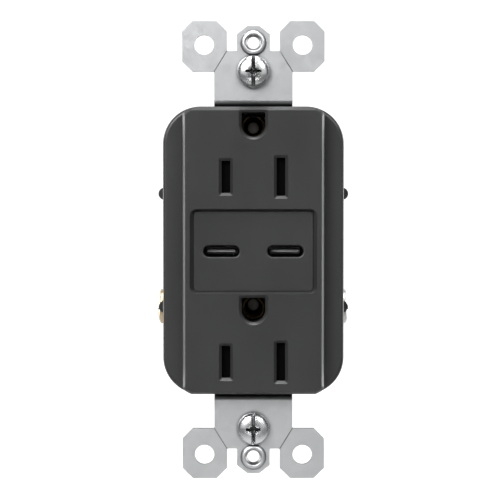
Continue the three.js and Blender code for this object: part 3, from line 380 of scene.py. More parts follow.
def join(obj, *others):
    return combine(obj, others, "UNION")


def finish_edges(obj, width=0.06, segments=2, angle=30, sharp=60):
    """Breaks the sharp edges of a piece and smooths its shading."""
    work = bmesh.new()
    work.from_mesh(obj.data)
    bmesh.ops.dissolve_degenerate(work, dist=1e-7, edges=work.edges)
    bmesh.ops.dissolve_limit(
        work, angle_limit=math.radians(0.5), verts=work.verts, edges=work.edges, delimit={"MATERIAL"})
    work.to_mesh(obj.data)
    work.free()
    if width:
        bevel = obj.modifiers.new("edges", "BEVEL")
        bevel.width = width * MM
        bevel.segments = segments
        bevel.limit_method = "ANGLE"
        bevel.angle_limit = math.radians(angle)
        bevel.miter_outer = "MITER_ARC"
        bevel.use_clamp_overlap = True
        settle(obj)
    for polygon in obj.data.polygons:
        polygon.use_smooth = True
    obj.data.set_sharp_from_angle(angle=math.radians(sharp))
    weighted = obj.modifiers.new("shading", "WEIGHTED_NORMAL")
    weighted.keep_sharp = True
    weighted.weight = 80
    return settle(obj)


def place(obj, at=(0, 0, 0), turn=(0, 0, 0)):
    """Moves a mesh made at the origin, so that its object stays at the origin."""
    move = Matrix.Translation(Vector(at) * MM)
    for axis, degrees in zip("XYZ", turn):
        if degrees:
            move = move @ Matrix.Rotation(math.radians(degrees), 4, axis)
    obj.data.transform(move)
    return obj


def mirrored(obj, name):
    """A second piece, mirrored top to bottom."""
    other = bpy.data.objects.new(name, obj.data.copy())
    bpy.context.scene.collection.objects.link(other)
    other.data.transform(Matrix.Diagonal((1, 1, -1, 1)))
    other.data.flip_normals()
    return other


def own(obj, body, slot_name, node):
    """Paints a finished piece, puts it on its body and lets it stand for a CAD node."""
    obj.data.materials.clear()
    obj.data.materials.append(MATERIALS[slot_name])
    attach(obj, body)
    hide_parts(node)
    return obj


# ---------------------------------------------------------------- materials
class Surface:
    """The node tree of one material, with a Principled shader at its end."""

    def __init__(self, name, colour, roughness, metallic=0.0, ior=1.46):
        self.material = bpy.data.materials.new(name)
        self.material.use_nodes = True
        self.tree = self.material.node_tree
        self.shader = self.tree.nodes["Principled BSDF"]
        self.shader.inputs["Base Color"].default_value = (*colour, 1)
        self.shader.inputs["Roughness"].default_value = roughness
        self.shader.inputs["Metallic"].default_value = metallic
        self.shader.inputs["IOR"].default_value = ior
        self.coordinates = self.tree.nodes.new("ShaderNodeTexCoord")
        self.where = self.coordinates.outputs["Object"]
        self.material.diffuse_color = (*colour, 1)

    def add(self, kind, inputs=None, **settings):
        node = self.tree.nodes.new("ShaderNode" + kind)
        for key, value in settings.items():
            setattr(node, key, value)
        for key, value in (inputs or {}).items():
            self.feed(node.inputs[key], value)
        return node

    def feed(self, socket, value):
        if isinstance(value, bpy.types.NodeSocket):
            self.tree.links.new(value, socket)
        else:
            socket.default_value = value

    def stretched(self, factors):
        return self.add("Mapping", {"Vector": self.where, "Scale": factors}).outputs["Vector"]

    def noise(self, size_mm, detail=2.0, stretch=None, roughness=0.5):
        """Noise from 0 to 1 whose blobs are about size_mm across."""
        where = self.stretched(stretch) if stretch else self.where
        scale = 1 / (size_mm * MM)
        inputs = {"Vector": where, "Scale": scale, "Detail": detail, "Roughness": roughness}
        return self.add("TexNoise", inputs).outputs["Fac"]

    def spread(self, value, low, high, out_low=0.0, out_high=1.0):
        inputs = {"Value": value, "From Min": low, "From Max": high, "To Min": out_low, "To Max": out_high}
        return self.add("MapRange", inputs).outputs["Result"]

    def maths(self, operation, a, b=0.0):
        node = self.add("Math", operation=operation)
        self.feed(node.inputs[0], a)
        self.feed(node.inputs[1], b)
        return node.outputs["Value"]

    def mix(self, first, first_share, second, second_share):
        """The sum of two values, each by its share."""
        shares = [self.maths("MULTIPLY", first, first_share), self.maths("MULTIPLY", second, second_share)]
        return self.maths("ADD", *shares)

    def blend(self, factor, first, second):
        node = self.add("Mix", data_type="RGBA")
        for socket, value in zip([node.inputs[0], node.inputs[6], node.inputs[7]], [factor, first, second]):
            self.feed(socket, value)
        return node.outputs[2]

    def edges(self, radius_mm=0.2):
        """1 on convex and concave edges, and 0 on open faces."""
        rounded = self.add("Bevel", {"Radius": radius_mm * MM}, samples=4).outputs["Normal"]
        plain = self.add("NewGeometry").outputs["Normal"]
        dot = self.add("VectorMath", {0: rounded, 1: plain}, operation="DOT_PRODUCT").outputs["Value"]
        return self.spread(dot, 0.995, 0.85)

    def painted_shade_mask(self, reach_mm, low, high):
        """A mask for painted shade from ambient occlusion: 0 deep inside slots, holes and grooves, rising to
        1 on open faces.
        """
        node = self.add("AmbientOcclusion", {"Distance": reach_mm * MM}, samples=8)
        return self.spread(node.outputs["AO"], low, high)

    def set(self, name, value):
        self.feed(self.shader.inputs[name], value)

    def bump(self, layers):
        """Bumps from (height, depth in mm) pairs, one on another."""
        normal = None
        for height, depth in layers:
            inputs = {"Height": height, "Distance": depth * MM, "Strength": 1.0}
            if normal:
                inputs["Normal"] = normal
            normal = self.add("Bump", inputs).outputs["Normal"]
        self.set("Normal", normal)


def shade(colour, factor):
    return (*[min(1, c * factor) for c in colour], 1)


def moulded_plastic(name, colour, roughness):
    """Plastic from a textured mould: an even grain, faint flow marks and slightly polished edges."""
    s = Surface(name, colour, roughness)
    grain = s.noise(0.28, 3)
    flow = s.noise(9, 2, (1, 1, 0.45))
    speck = s.noise(0.12, 1)
    mottled = s.blend(s.spread(flow, 0.3, 0.7), shade(colour, 0.93), shade(colour, 1.07))
    speckled = s.blend(s.spread(speck, 0.45, 0.75, 0, 0.35), mottled, shade(colour, 1.35))
    worn = s.maths("MULTIPLY", s.edges(), s.spread(s.noise(1.6, 2), 0.3, 0.75, 0.2, 0.8))
    s.set("Base Color", s.blend(worn, speckled, shade(colour, 1.25)))
    texture = s.mix(grain, 0.7, flow, 0.3)
    s.set("Roughness", s.spread(texture, 0.3, 0.7, roughness - 0.06, roughness + 0.07))
    s.bump([(flow, 0.01), (grain, 0.006)])
    return s.material


def sheet_steel(name, colour, roughness):
    """Zinc-coated sheet: soft crystal patches, a fine rolled grain, rubbed corners, sideways walls darkened
    as bare sheared steel and as painted shade, and painted shade in hollows.
    """
    s = Surface(name, colour, roughness, 1.0)
    cells = s.add("TexVoronoi", {"Vector": s.where, "Scale": 1 / (2.2 * MM), "Randomness": 1.0})
    patch = s.add("SeparateColor", {"Color": cells.outputs["Color"]}).outputs[0]
    cloud = s.noise(5, 3)
    grain = s.noise(0.3, 3, (1, 1, 0.3))
    fine = s.noise(0.09, 2)
    tone = s.mix(patch, 0.35, cloud, 0.65)
    base = s.blend(s.spread(tone, 0.2, 0.8), shade(colour, 0.96), shade(colour, 1.03))
    speckled = s.blend(s.spread(fine, 0.55, 0.8, 0, 0.3), base, shade(colour, 0.75))
    rubbed = s.blend(s.maths("MULTIPLY", s.edges(0.12), 0.3), speckled, shade(colour, 1.12))
    # Walls facing sideways in the end plates are darkened: partly the bare sheared steel, partly painted
    # shade on hole and edge walls.
    facing = s.add("SeparateXYZ", {"Vector": s.coordinates.outputs["Normal"]}).outputs["Y"]
    depth = s.add("SeparateXYZ", {"Vector": s.where}).outputs["Y"]
    side_on = s.spread(s.maths("ABSOLUTE", facing), 0.9, 0.5)
    in_end_plates = s.spread(depth, 0.4 * MM, 0.1 * MM)
    sheared_and_shaded = s.blend(s.maths("MULTIPLY", side_on, in_end_plates), rubbed, shade(colour, 0.35))
    # Painted shade: the colour darkens in score lines, at the foot of the plate-hole ring and where the strap
    # bends in.
    s.set("Base Color", s.blend(s.painted_shade_mask(0.9, 0.4, 0.9), shade(colour, 0.3), sheared_and_shaded))
    texture = s.mix(grain, 0.8, tone, 0.2)
    s.set("Roughness", s.spread(texture, 0.3, 0.7, roughness - 0.04, roughness + 0.06))
    s.bump([(cloud, 0.004), (grain, 0.003), (fine, 0.0015)])
    return s.material


def plated_metal(name, colour, roughness):
    """Plated or stamped metal: soft tarnish, tool marks, rubbed edges and painted shade in hollows."""
    s = Surface(name, colour, roughness, 1.0)
    cloud = s.noise(2.4, 4)
    marks = s.noise(0.35, 2, (1, 0.25, 1))
    fine = s.noise(0.07, 2)
    stained = s.blend(s.spread(cloud, 0.35, 0.75), shade(colour, 1.04), shade(colour, 0.75))
    rubbed = s.blend(s.maths("MULTIPLY", s.edges(0.12), 0.5), stained, shade(colour, 1.2))
    # Painted shade: the colour goes nearly black inside screw slots, crosses and holes.
    s.set("Base Color", s.blend(s.painted_shade_mask(2.0, 0.45, 0.9), shade(colour, 0.07), rubbed))
    texture = s.mix(cloud, 0.6, marks, 0.4)
    s.set("Roughness", s.spread(texture, 0.3, 0.7, roughness - 0.05, roughness + 0.12))
    s.bump([(marks, 0.004), (fine, 0.0015)])
    return s.material


def circuit_board(name, colour):
    """Solder mask over laminate, with tracks that stand up slightly and a faint glass weave."""
    s = Surface(name, colour, 0.32)
    flat = s.add("Mapping", {"Vector": s.where, "Rotation": (math.radians(90), 0, 0)}).outputs["Vector"]
    brick = {
        "Vector": flat,
        "Scale": 1 / (4.2 * MM),
        "Mortar Size": 0.07,
        "Mortar Smooth": 0.2,
        "Brick Width": 0.9,
        "Row Height": 0.3,
    }
    tracks = s.add("TexBrick", brick).outputs["Fac"]
    weave = s.add("TexWave", {"Vector": s.where, "Scale": 1 / (0.9 * MM), "Distortion": 0.4}).outputs["Fac"]
    cloud = s.noise(6, 2)
    base = s.blend(s.spread(cloud, 0.3, 0.7), shade(colour, 0.85), shade(colour, 1.15))
    s.set("Base Color", s.blend(s.maths("MULTIPLY", tracks, 0.7), base, shade(colour, 1.9)))
    s.set("Roughness", s.spread(cloud, 0.3, 0.7, 0.26, 0.4))
    s.bump([(weave, 0.004), (tracks, 0.03)])
    return s.material


def fibre_sheet(name, colour):
    """Vulcanised fibre: a dull pressed-paper board with short hairs and a dusty surface."""
    s = Surface(name, colour, 0.85)
    hair = s.noise(0.5, 4, (1, 1, 0.3))
    cloud = s.noise(3, 3)
    base = s.blend(s.spread(cloud, 0.3, 0.7), shade(colour, 0.8), shade(colour, 1.15))
    s.set("Base Color", s.blend(s.spread(hair, 0.5, 0.8, 0, 0.5), base, shade(colour, 1.5)))
    s.set("Roughness", s.spread(hair, 0.3, 0.7, 0.75, 0.95))
    s.bump([(hair, 0.015), (cloud, 0.02)])
    return s.material


def make_materials():
    """One material for each slot: its colour, as light from 0 to 1, and its roughness."""
    plastics = {
        "graphite_face": ((0.0175, 0.0178, 0.0181), 0.40),
        "black_plastic": ((0.020, 0.020, 0.021), 0.42),
        "carrier_plastic": ((0.020, 0.019, 0.018), 0.5),
        # shutter_plastic is black plastic made darker still, as painted shade deep in the blade slots.
        "shutter_plastic": ((0.0012, 0.0012, 0.0012), 0.6),
        "tongue_plastic": ((0.30, 0.30, 0.305), 0.45),
        "ferrite": ((0.05, 0.05, 0.055), 0.75),
        "winding_tape": ((0.66, 0.47, 0.08), 0.3),
        "capacitor_sleeve": ((0.02, 0.024, 0.035), 0.3),
        "blue_coating": ((0.03, 0.11, 0.28), 0.25),
        "fuse_ceramic": ((0.72, 0.70, 0.64), 0.3),
        "chip_black": ((0.014, 0.014, 0.015), 0.5),
        "wire_black": ((0.014, 0.014, 0.014), 0.4),
        "wire_white": ((0.68, 0.67, 0.62), 0.4),
    }
    metals = {
        "screw_steel": ((0.70, 0.71, 0.72), 0.22),
        "spring_steel": ((0.56, 0.57, 0.58), 0.28),
        # contact_brass is a dark, tarnished brass, darkened further as painted shade for the contacts deep in
        # the ground holes.
        "contact_brass": ((0.22, 0.15, 0.07), 0.5),
        "terminal_brass": ((0.62, 0.50, 0.33), 0.3),
        "terminal_nickel": ((0.62, 0.62, 0.60), 0.3),
        "ground_green": ((0.10, 0.27, 0.14), 0.34),
        "usb_nickel": ((0.50, 0.50, 0.50), 0.26),
    }
    made = {name: moulded_plastic(name, *values) for name, values in plastics.items()}
    for dull in ("shutter_plastic", "carrier_plastic"):
        made[dull].node_tree.nodes["Principled BSDF"].inputs["Specular IOR Level"].default_value = 0.03
    made.update({name: plated_metal(name, *values) for name, values in metals.items()})
    made["strap_steel"] = sheet_steel("strap_steel", (0.60, 0.61, 0.62), 0.4)
    made["circuit_board"] = circuit_board("circuit_board", (0.02, 0.11, 0.05))
    made["vulcanised_fibre"] = fibre_sheet("vulcanised_fibre", (0.26, 0.23, 0.19))
    return made


MATERIALS = make_materials()


# ---------------------------------------------------------------- front cover and panel
def face_outline(inset):
    """The face's outline, with its four corners cut off as the body's round corners need."""
    w, h = FACE_WIDTH / 2, FACE_HEIGHT / 2
    cx, cz = FACE_CORNER_X, FACE_CORNER_Z
    top = [(w, h - cz), (w - cx, h), (-w + cx, h), (-w, h - cz)]
    corners = top + [(-x, -z) for x, z in top]
    return filleted(inset_polygon(corners, inset), FACE_CORNER_ROUND, 5)


def mouth_cutter(make_outline, deep, wide):
    """Cuts an opening through the face, with a sloped mouth."""
    reach = 1.0
    return layered("cutter", [
        (FACE_Y - reach, make_outline(wide * (1 + reach / deep))),
        (FACE_Y + deep, make_outline(0)),
        (1.0, make_outline(0)),
    ])


def slot_outline(side, z):
    """A maker of one blade slot's outline, wider by the extra that it is given."""
    x, width, height = side * BLADE_X, SLOT_WIDTH, SLOT_HEIGHTS[side]

    def outline(extra):
        return rounded_rect(width + 2 * extra, height + 2 * extra, 0.2 + 0.3 * extra, x, z, 4)

    return outline


def front_cover():
    cover = slab("front_cover", BODY_WIDTH, BODY_HEIGHT, BODY_RADIUS, (SHOULDER_Y, COVER_BACK_Y),
                 SHOULDER_ROUND, 6, steps=20, round_back=False)
    slope = [  # how deep each step of the sloped edge is, and how far in
        (0.0, FACE_SLOPE_WIDE + 0.16),
        (0.03, FACE_SLOPE_WIDE + 0.05),
        (0.12, FACE_SLOPE_WIDE - 0.04),
        (FACE_SLOPE_DEEP - 0.15, 0.10),
        (FACE_SLOPE_DEEP, 0.03),
        (FACE_SLOPE_DEEP + 0.2, 0.0),
    ]
    layers = [(FACE_Y + y, face_outline(inset)) for y, inset in slope]
    face = layered("face", layers + [(FACE_BACK_Y, face_outline(0))])
    join(cover, face)
    inside = rounded_rect(
        BODY_WIDTH - 2 * COVER_WALL, BODY_HEIGHT - 2 * COVER_END_WALL, BODY_RADIUS - COVER_WALL, steps=12)
    pocket = rounded_rect(FACE_POCKET_WIDTH, FACE_POCKET_HEIGHT, 1)
    skirt_top = SHOULDER_Y + COVER_WALL
    cut(cover,
        prism("room", inside, skirt_top, COVER_BACK_Y + BEYOND),
        prism("pocket", pocket, FACE_Y + FACE_WALL, skirt_top + 0.5))
    bosses, holes = [], []
    for x, z in ASSEMBLY_SPOTS.values():
        bosses.append(prism("boss", circle(x, z, BOSS_RADIUS), skirt_top - 0.2, COVER_BACK_Y))
        holes.append(prism("hole", circle(x, z, ASSEMBLY_SHANK + 0.1), 2, COVER_BACK_Y + BEYOND))
    for end in (-1, 1):
        half = NECK_HALF + 0.1
        bottom = end * (NECK_END_Z - BEND_INSIDE - SHEET - 0.15)
        depth = (STRAP_FRONT_Y + 0.05, COVER_BACK_Y + BEYOND)
        holes.append(block("notch", (-half, half), depth, (bottom, end * (BODY_HEIGHT / 2 + BEYOND))))
        for hand in (-1, 1):
            centre = hand * (LUG_REACH - LUG_RADIUS)
            bosses.append(layered("lug", rounded_layers(
                lambda d: circle(centre, end * LUG_Z, LUG_RADIUS - d, 36),
                LUG_FRONT_Y, LUG_BACK_Y, LUG_ROUND, 3)))
    join(cover, *bosses)
    for name, z in SLOT_CENTRES_Z.items():
        for side in (-1, 1):
            holes.append(mouth_cutter(slot_outline(side, z), SLOT_CHAMFER, SLOT_CHAMFER))
        ground_z = GROUND_CENTRES_Z[name]
        holes.append(mouth_cutter(lambda d: ground_hole_outline(ground_z, d), SLOT_CHAMFER, SLOT_CHAMFER))
        sleeve = circle(0, ground_z, GROUND_RADIUS + GAP, 36)
        holes.append(prism("sleeve", sleeve, 0, COVER_BACK_Y + BEYOND))

    def recess(extra):
        wider = 2 * (extra - PANEL_SLOPE_X)
        higher = wider * PANEL_SLOPE_Z / PANEL_SLOPE_X
        radius = PANEL_RADIUS - PANEL_SLOPE_X + extra
        return rounded_rect(PANEL_WIDTH + wider, PANEL_HEIGHT + higher, radius, steps=6)

    holes.append(mouth_cutter(recess, PANEL_DEPTH, PANEL_SLOPE_X))
    for hole in holes:
        cut(cover, hole)
    finish_edges(cover, 0.07, 2, 28)
    return own(cover, "root", "graphite_face", "front_cover")


def usb_panel():
    floor_y = FACE_Y + PANEL_DEPTH
    back_y = floor_y + PANEL_THICK
    width = PANEL_WIDTH - 2 * (PANEL_SLOPE_X + PANEL_FIT)
    height = PANEL_HEIGHT - 2 * (PANEL_SLOPE_Z + PANEL_FIT)
    radius = PANEL_RADIUS - PANEL_SLOPE_X - PANEL_FIT
    panel = slab("usb_panel", width, height, radius, (floor_y, floor_y + 1.2), 0.12, 3,
                 steps=5, round_back=False)
    join(panel, prism("flange", rounded_rect(FLANGE_WIDTH, FLANGE_HEIGHT, 1), back_y - FLANGE_THICK, back_y))
    mouth = [(-1, 0.5), (0, 0.34), (0.03, 0.2), (0.12, 0.08), (0.3, 0), (BEYOND, 0)]  # depth, and extra reach
    cutters = []
    for sign in (-1, 1):
        layers = []
        for y, extra in mouth:
            width, height = PORT_WIDTH + 2 * extra, PORT_HEIGHT + 2 * extra
            layers.append((floor_y + y, rounded_rect(width, height, height / 2 - 0.02, sign * PORT_X, 0, 12)))
        cutters.append(layered("port", layers))
    for cutter in cutters:
        cut(panel, cutter)
    finish_edges(panel, 0.04, 2, 35)
    return own(panel, "root", "graphite_face", "usb_panel")


def usb_port(hand, sign):
    """The drawn shell and the tongue inside one port."""
    front, back = FACE_Y + PANEL_DEPTH + PANEL_THICK + 0.05, SHELL_BACK_Y
    x = sign * PORT_X
    outside = rounded_rect(SHELL_WIDTH, SHELL_HEIGHT, 1.6, x, 0, 12)
    inside = rounded_rect(SHELL_WIDTH - 2 * SHELL_WALL, SHELL_HEIGHT - 2 * SHELL_WALL, 1.33, x, 0, 12)
    shell = prism(f"usb_shell_{hand}", outside, front, back)
    cut(shell, prism("inside", inside, front - 1, back - 0.5))
    finish_edges(shell, 0.05, 2, 35)
    own(shell, "root", "usb_nickel", f"usb_shell_{hand}")
    tongue = slab(f"usb_tongue_{hand}", TONGUE_WIDTH, TONGUE_THICK, 0.24,
                  (TONGUE_FRONT_Y, TONGUE_BACK_Y), 0.06, 3, (x, 0), 4, False)
    root_y = TONGUE_BACK_Y - TONGUE_ROOT_DEEP
    join(tongue, prism("root", rounded_rect(7.2, 1.8, 0.4, x, 0, 4), root_y, TONGUE_BACK_Y))
    strip_y = (TONGUE_FRONT_Y + 0.6, root_y + 0.1)
    strip_z = TONGUE_THICK / 2 + 0.04
    strips = []
    for k in range(STRIPS):
        cx = x + STRIP_PITCH * (k - (STRIPS - 1) / 2)
        across = (cx - STRIP_HALF, cx + STRIP_HALF)
        for side in (-1, 1):
            strips.append(block("strip", across, strip_y, (side * 0.2, side * strip_z)))
    join(tongue, *strips)
    finish_edges(tongue, 0.03, 1, 35)
    own(tongue, "root", "tongue_plastic", f"usb_tongue_{hand}")
    tongue.data.materials.append(MATERIALS["contact_brass"])
    for polygon in tongue.data.polygons:
        on_top = abs(abs(polygon.center.z) - strip_z * MM) < 0.015 * MM
        polygon.material_index = int(on_top and polygon.center.y < (root_y + 0.05) * MM)


# ---------------------------------------------------------------- mounting strap
def strap_end_outline():
    right = [
        (NECK_HALF, NECK_END_Z - 0.4),
        (NECK_HALF, EAR_BOTTOM),
        (EAR_OUTER - EAR_CHAMFER, EAR_BOTTOM),
        (EAR_OUTER, EAR_BOTTOM + EAR_CHAMFER),
        (EAR_OUTER, STRAP_TOP_Z - EAR_CHAMFER),
        (EAR_OUTER - EAR_CHAMFER, STRAP_TOP_Z),
        (EAR_INNER + EAR_CHAMFER, STRAP_TOP_Z),
        (EAR_INNER, STRAP_TOP_Z - EAR_CHAMFER),
        (EAR_INNER, NOTCH_Z),
        (TAB_HALF, NOTCH_Z),
        (TAB_HALF, TAB_TOP - TAB_CHAMFER_Z),
        (TAB_HALF - TAB_CHAMFER_X, TAB_TOP),
    ]
    left = [(-x, z) for x, z in reversed(right)]
    return filleted(right + left, 0.22, 3)


def strap_path():
    """The middle of the sheet, in Y and Z, from the end plate back beside the body and in behind it."""
    half = SHEET / 2
    bend = BEND_INSIDE + half
    first = (STRAP_FRONT_Y + BEND_INSIDE + SHEET, NECK_END_Z)
    leg_z = NECK_END_Z - bend
    second = (SEAT_Y + half - bend, leg_z - bend)
    path = [(STRAP_FRONT_Y + half, NECK_END_Z + 0.3)]
    path += arc(*first, bend, 180, 270, 10)
    path += arc(*second, bend, 90, 0, 10)
    return path + [(SEAT_Y + half, second[1] - 2.0)]


def sheet_profile(path, thick):
    """A closed outline that follows a path at half the sheet's thickness on each side."""
    sides = ([], [])
    for k, here in enumerate(path):
        before, after = Vector(path[max(k - 1, 0)]), Vector(path[min(k + 1, len(path) - 1)])
        along = (after - before).normalized()
        normal = Vector((-along.y, along.x)) * thick / 2
        for side, sign in zip(sides, (1, -1)):
            side.append(tuple(Vector(here) + sign * normal))
    return sides[0] + sides[1][::-1]


def ring_profile(steps=10):
    """The rounded ring pressed up round a plate hole, in (radius, height) from the front of the sheet."""
    profile = [(0, 0.5), (RING_FOOT + 0.15, 0.5), (RING_FOOT + 0.15, 0.02)]
    for k in range(steps + 1):
        a = math.radians(90 * k / steps)
        fall = math.sin(a) ** 1.4
        profile.append((RING_FOOT - (RING_FOOT - RING_RIDGE) * (1 - math.cos(a)), -RING_HIGH * fall))
    return profile + [(0, -RING_HIGH)]


def ring_throat():
    """The steep funnel from the ring's ridge down to the tapped hole."""
    ridge, hole = RING_RIDGE - 0.12, PLATE_HOLE_RADIUS
    return [
        (0, -3),
        (ridge + 0.3, -3),
        (ridge + 0.3, -RING_HIGH - 0.1),
        (ridge, -RING_HIGH + 0.02),
        (ridge - 0.16, -RING_HIGH + 0.16),
        (ridge - 0.3, -RING_HIGH + 0.42),
        (hole, 0.35),
        (hole, 4),
        (0, 4),
    ]


def strap_end():
    end = prism("strap_end", strap_end_outline(), STRAP_FRONT_Y, 0)
    profile = sheet_profile(strap_path(), SHEET)
    bend = skin("bend", [[(x, y, z) for y, z in profile] for x in (-NECK_HALF, NECK_HALF)])
    join(end, bend, place(turned("ring", ring_profile(), 64), (0, STRAP_FRONT_Y, PLATE_HOLE_Z)))
    cut(end, place(turned("throat", ring_throat(), 64), (0, STRAP_FRONT_Y, PLATE_HOLE_Z)))
    mount_slot = rounded_rect(MOUNT_SLOT_WIDTH, MOUNT_SLOT_HEIGHT, MOUNT_SLOT_RADIUS, 0, MOUNT_Z, 8)
    cut(end, prism("mount", mount_slot, -BEYOND, BEYOND))
    run_x, run_z = NECK_HALF - EAR_INNER, NOTCH_Z - EAR_BOTTOM
    along = Vector((run_x, -run_z)).normalized()
    across = Vector((-along.y, along.x))
    for hand in (-1, 1):
        ear_hole = circle(hand * EAR_HOLE_X, EAR_HOLE_Z, EAR_HOLE_RADIUS, 48)
        cut(end, prism("ear_hole", ear_hole, -BEYOND, BEYOND))
        middle = Vector(((NECK_HALF + EAR_INNER) / 2, (NOTCH_Z + EAR_BOTTOM) / 2))
        layers = []
        for y, half in [(STRAP_FRONT_Y - 0.3, SCORE_HALF), (STRAP_FRONT_Y + SCORE_DEEP, SCORE_FLOOR_HALF)]:
            ends = ((-SCORE_REACH, -half), (SCORE_REACH, -half), (SCORE_REACH, half), (-SCORE_REACH, half))
            corners = [middle + along * a + across * b for a, b in ends]
            layers.append((y, [(hand * c.x, c.y) for c in corners]))
        cut(end, layered("score", layers))
    return end


def mounting_strap():
    seat = (SEAT_Y, SEAT_Y + SHEET)
    tab_top = GROUND_SCREW_TOP - TERMINAL_HEAD_HIGH - CLAMP_THICK - 2 * GAP
    tab_z = (tab_top - SHEET, tab_top)
    strap = strap_end()
    strap.name = "mounting_strap"
    lower = mirrored(strap, "lower_end")
    reach = NECK_END_Z - 2 * BEND_INSIDE - SHEET - 1.0
    join(strap, lower,
         block("seat", (-NECK_HALF, NECK_HALF), seat, (-reach, reach)),
         block("arm", (NECK_HALF - 1, GROUND_TAB_RIGHT), seat, (GROUND_ARM_BOTTOM, tab_z[1])),
         block("tab", (GROUND_TAB_LEFT, GROUND_TAB_RIGHT), (SEAT_Y, GROUND_TAB_BACK_Y), tab_z))
    through = (SEAT_Y - 1, SEAT_Y + 2)
    window = block(
        "window", (-SEAT_WINDOW_X, SEAT_WINDOW_X), through, (-SEAT_WINDOW_Z, SEAT_WINDOW_Z))
    bore = turned("bore", [(0, -3), (TERMINAL_HOLE, -3), (TERMINAL_HOLE, 3), (0, 3)], 32)
    place(bore, (GROUND_SCREW_X, TERMINAL_Y, tab_top), (90, 0, 0))
    holes = [window, bore]
    for z in GROUND_CENTRES_Z.values():
        holes.append(prism("rivet", circle(0, z, RIVET_HOLE), *through))
    cut(strap, *holes)
    finish_edges(strap, 0.1, 2, 32)
    return own(strap, "root", "strap_steel", "mounting_strap")


# ---------------------------------------------------------------- screws and clamps
def dome_profile(head_radius, head_high, rim, shank_radius, length, steps=9):
    """Half of a screw's outline, tip first, with the top of its domed head at height 0."""
    tip = -head_high - length
    profile = [
        (0, tip),
        (shank_radius * 0.62, tip),
        (shank_radius, tip + 0.9),
        (shank_radius, -head_high),
        (head_radius - 0.12, -head_high),
        (head_radius, -head_high + 0.12),
    ]
    dome = head_high - rim
    for k in range(steps):
        a = math.radians(90 * k / steps)
        profile.append((head_radius * math.cos(a) ** 0.85, -dome + dome * math.sin(a)))
    return profile + [(0, 0)]


def cross_cutter(reach, deep, arm=0.3):
    """The tapered cross of a screwdriver's tip, with a four-sided pit where the arms meet."""
    wing = [  # height, reach and half thickness
        (0.6, reach + 0.1, arm + 0.05),
        (-deep * 0.5, reach * 0.85, arm),
        (-deep, reach * 0.3, arm * 0.8),
    ]
    cutters = []
    for turn in (0, 90):
        rings = []
        for h, r, half in wing:
            rings.append([(r, h, half), (-r, h, half), (-r, h, -half), (r, h, -half)])
        cutters.append(place(skin("wing", rings), turn=(0, turn, 0)))
    pit = []
    for h, r in [(0.6, reach * 0.78), (-deep * 0.6, reach * 0.5), (-deep * 1.05, reach * 0.1)]:
        pit.append([(r, h, 0), (0, h, r), (-r, h, 0), (0, h, -r)])
    return cutters + [skin("pit", pit)]


def mounting_screw(name, sign):
    length = MOUNT_TIP_Y - STRAP_FRONT_Y + GAP
    profile = dome_profile(MOUNT_HEAD_RADIUS, MOUNT_HEAD_HIGH, MOUNT_RIM, MOUNT_SHANK, length)
    thread = (-MOUNT_HEAD_HIGH - length + 0.2, -MOUNT_HEAD_HIGH - 2.5, THREAD_PITCH, THREAD_DEPTH)
    screw = turned(f"mounting_screw_{name}", profile, 48, thread)
    cut(screw, block("slot", (-0.46, 0.46), (-1.15, 1), (-5, 5)))
    for wing in cross_cutter(1.85, 1.7):
        cut(screw, wing)
    head_top = STRAP_FRONT_Y - GAP - MOUNT_HEAD_HIGH
    place(screw, (0, head_top, sign * MOUNT_Z), (180, 0, 0))
    finish_edges(screw, 0.05, 2, 50, 70)
    return own(screw, f"{name}_mounting_screw", "screw_steel", f"mounting_screw_{name}")


def screw_retainer(name, sign):
    z = sign * MOUNT_Z
    washer = slab(f"screw_retainer_{name}", WASHER_SIDE, WASHER_SIDE, 1,
                  (WASHER_FRONT_Y, WASHER_BACK_Y), 0.08, 2, (0, z))
    cut(washer, prism("hole", circle(0, z, WASHER_HOLE, 36), 6, 9))
    finish_edges(washer, 0.03, 1, 40)
    return own(washer, f"{name}_retainer", "vulcanised_fibre", f"screw_retainer_{name}")


def terminal(name, slot_name, at, turn, head_radius, length):
    """One terminal: the slotted screw and the square clamp plate under its head."""
    profile = dome_profile(head_radius, TERMINAL_HEAD_HIGH, TERMINAL_RIM, TERMINAL_SHANK, length)
    thread = (-TERMINAL_HEAD_HIGH - length + 0.2, -TERMINAL_HEAD_HIGH - 0.6, THREAD_PITCH, THREAD_DEPTH)
    screw = turned(f"{name}_terminal_screw", profile, 48, thread)
    cut(screw, block("slot", (-6, 6), (-1.1, 1), (-0.6, 0.6)))
    for wing in cross_cutter(1.9, 1.9):
        cut(screw, wing)
    place(screw, at, turn)
    finish_edges(screw, 0.05, 2, 50, 70)
    own(screw, f"{name}_screw", slot_name, f"{name}_terminal_screw")
    plate = slab(f"{name}_clamp_plate", CLAMP_SIDE, CLAMP_SIDE, 1, (-CLAMP_THICK, 0), 0.12, 3)
    grooves = [prism("hole", circle(0, 0, TERMINAL_HOLE, 36), -3, 2)]
    for x in (-CLAMP_GROOVES_X, CLAMP_GROOVES_X):
        for k in (-1, 0, 1):
            middle = x + CLAMP_GROOVE_PITCH * k
            depth = (-CLAMP_THICK - 1, -CLAMP_THICK + 0.14)
            grooves.append(block("groove", (middle - 0.12, middle + 0.12), depth, (-5, 5)))
    cut(plate, *grooves)
    down = Vector((0, -TERMINAL_HEAD_HIGH - GAP, 0))
    for axis, degrees in zip("XYZ", turn):
        if degrees:
            down = Matrix.Rotation(math.radians(degrees), 3, axis) @ down
    place(plate, Vector(at) + down, turn)
    finish_edges(plate, 0.04, 2, 40)
    own(plate, f"{name}_clamp", "terminal_nickel", f"{name}_clamp_plate")


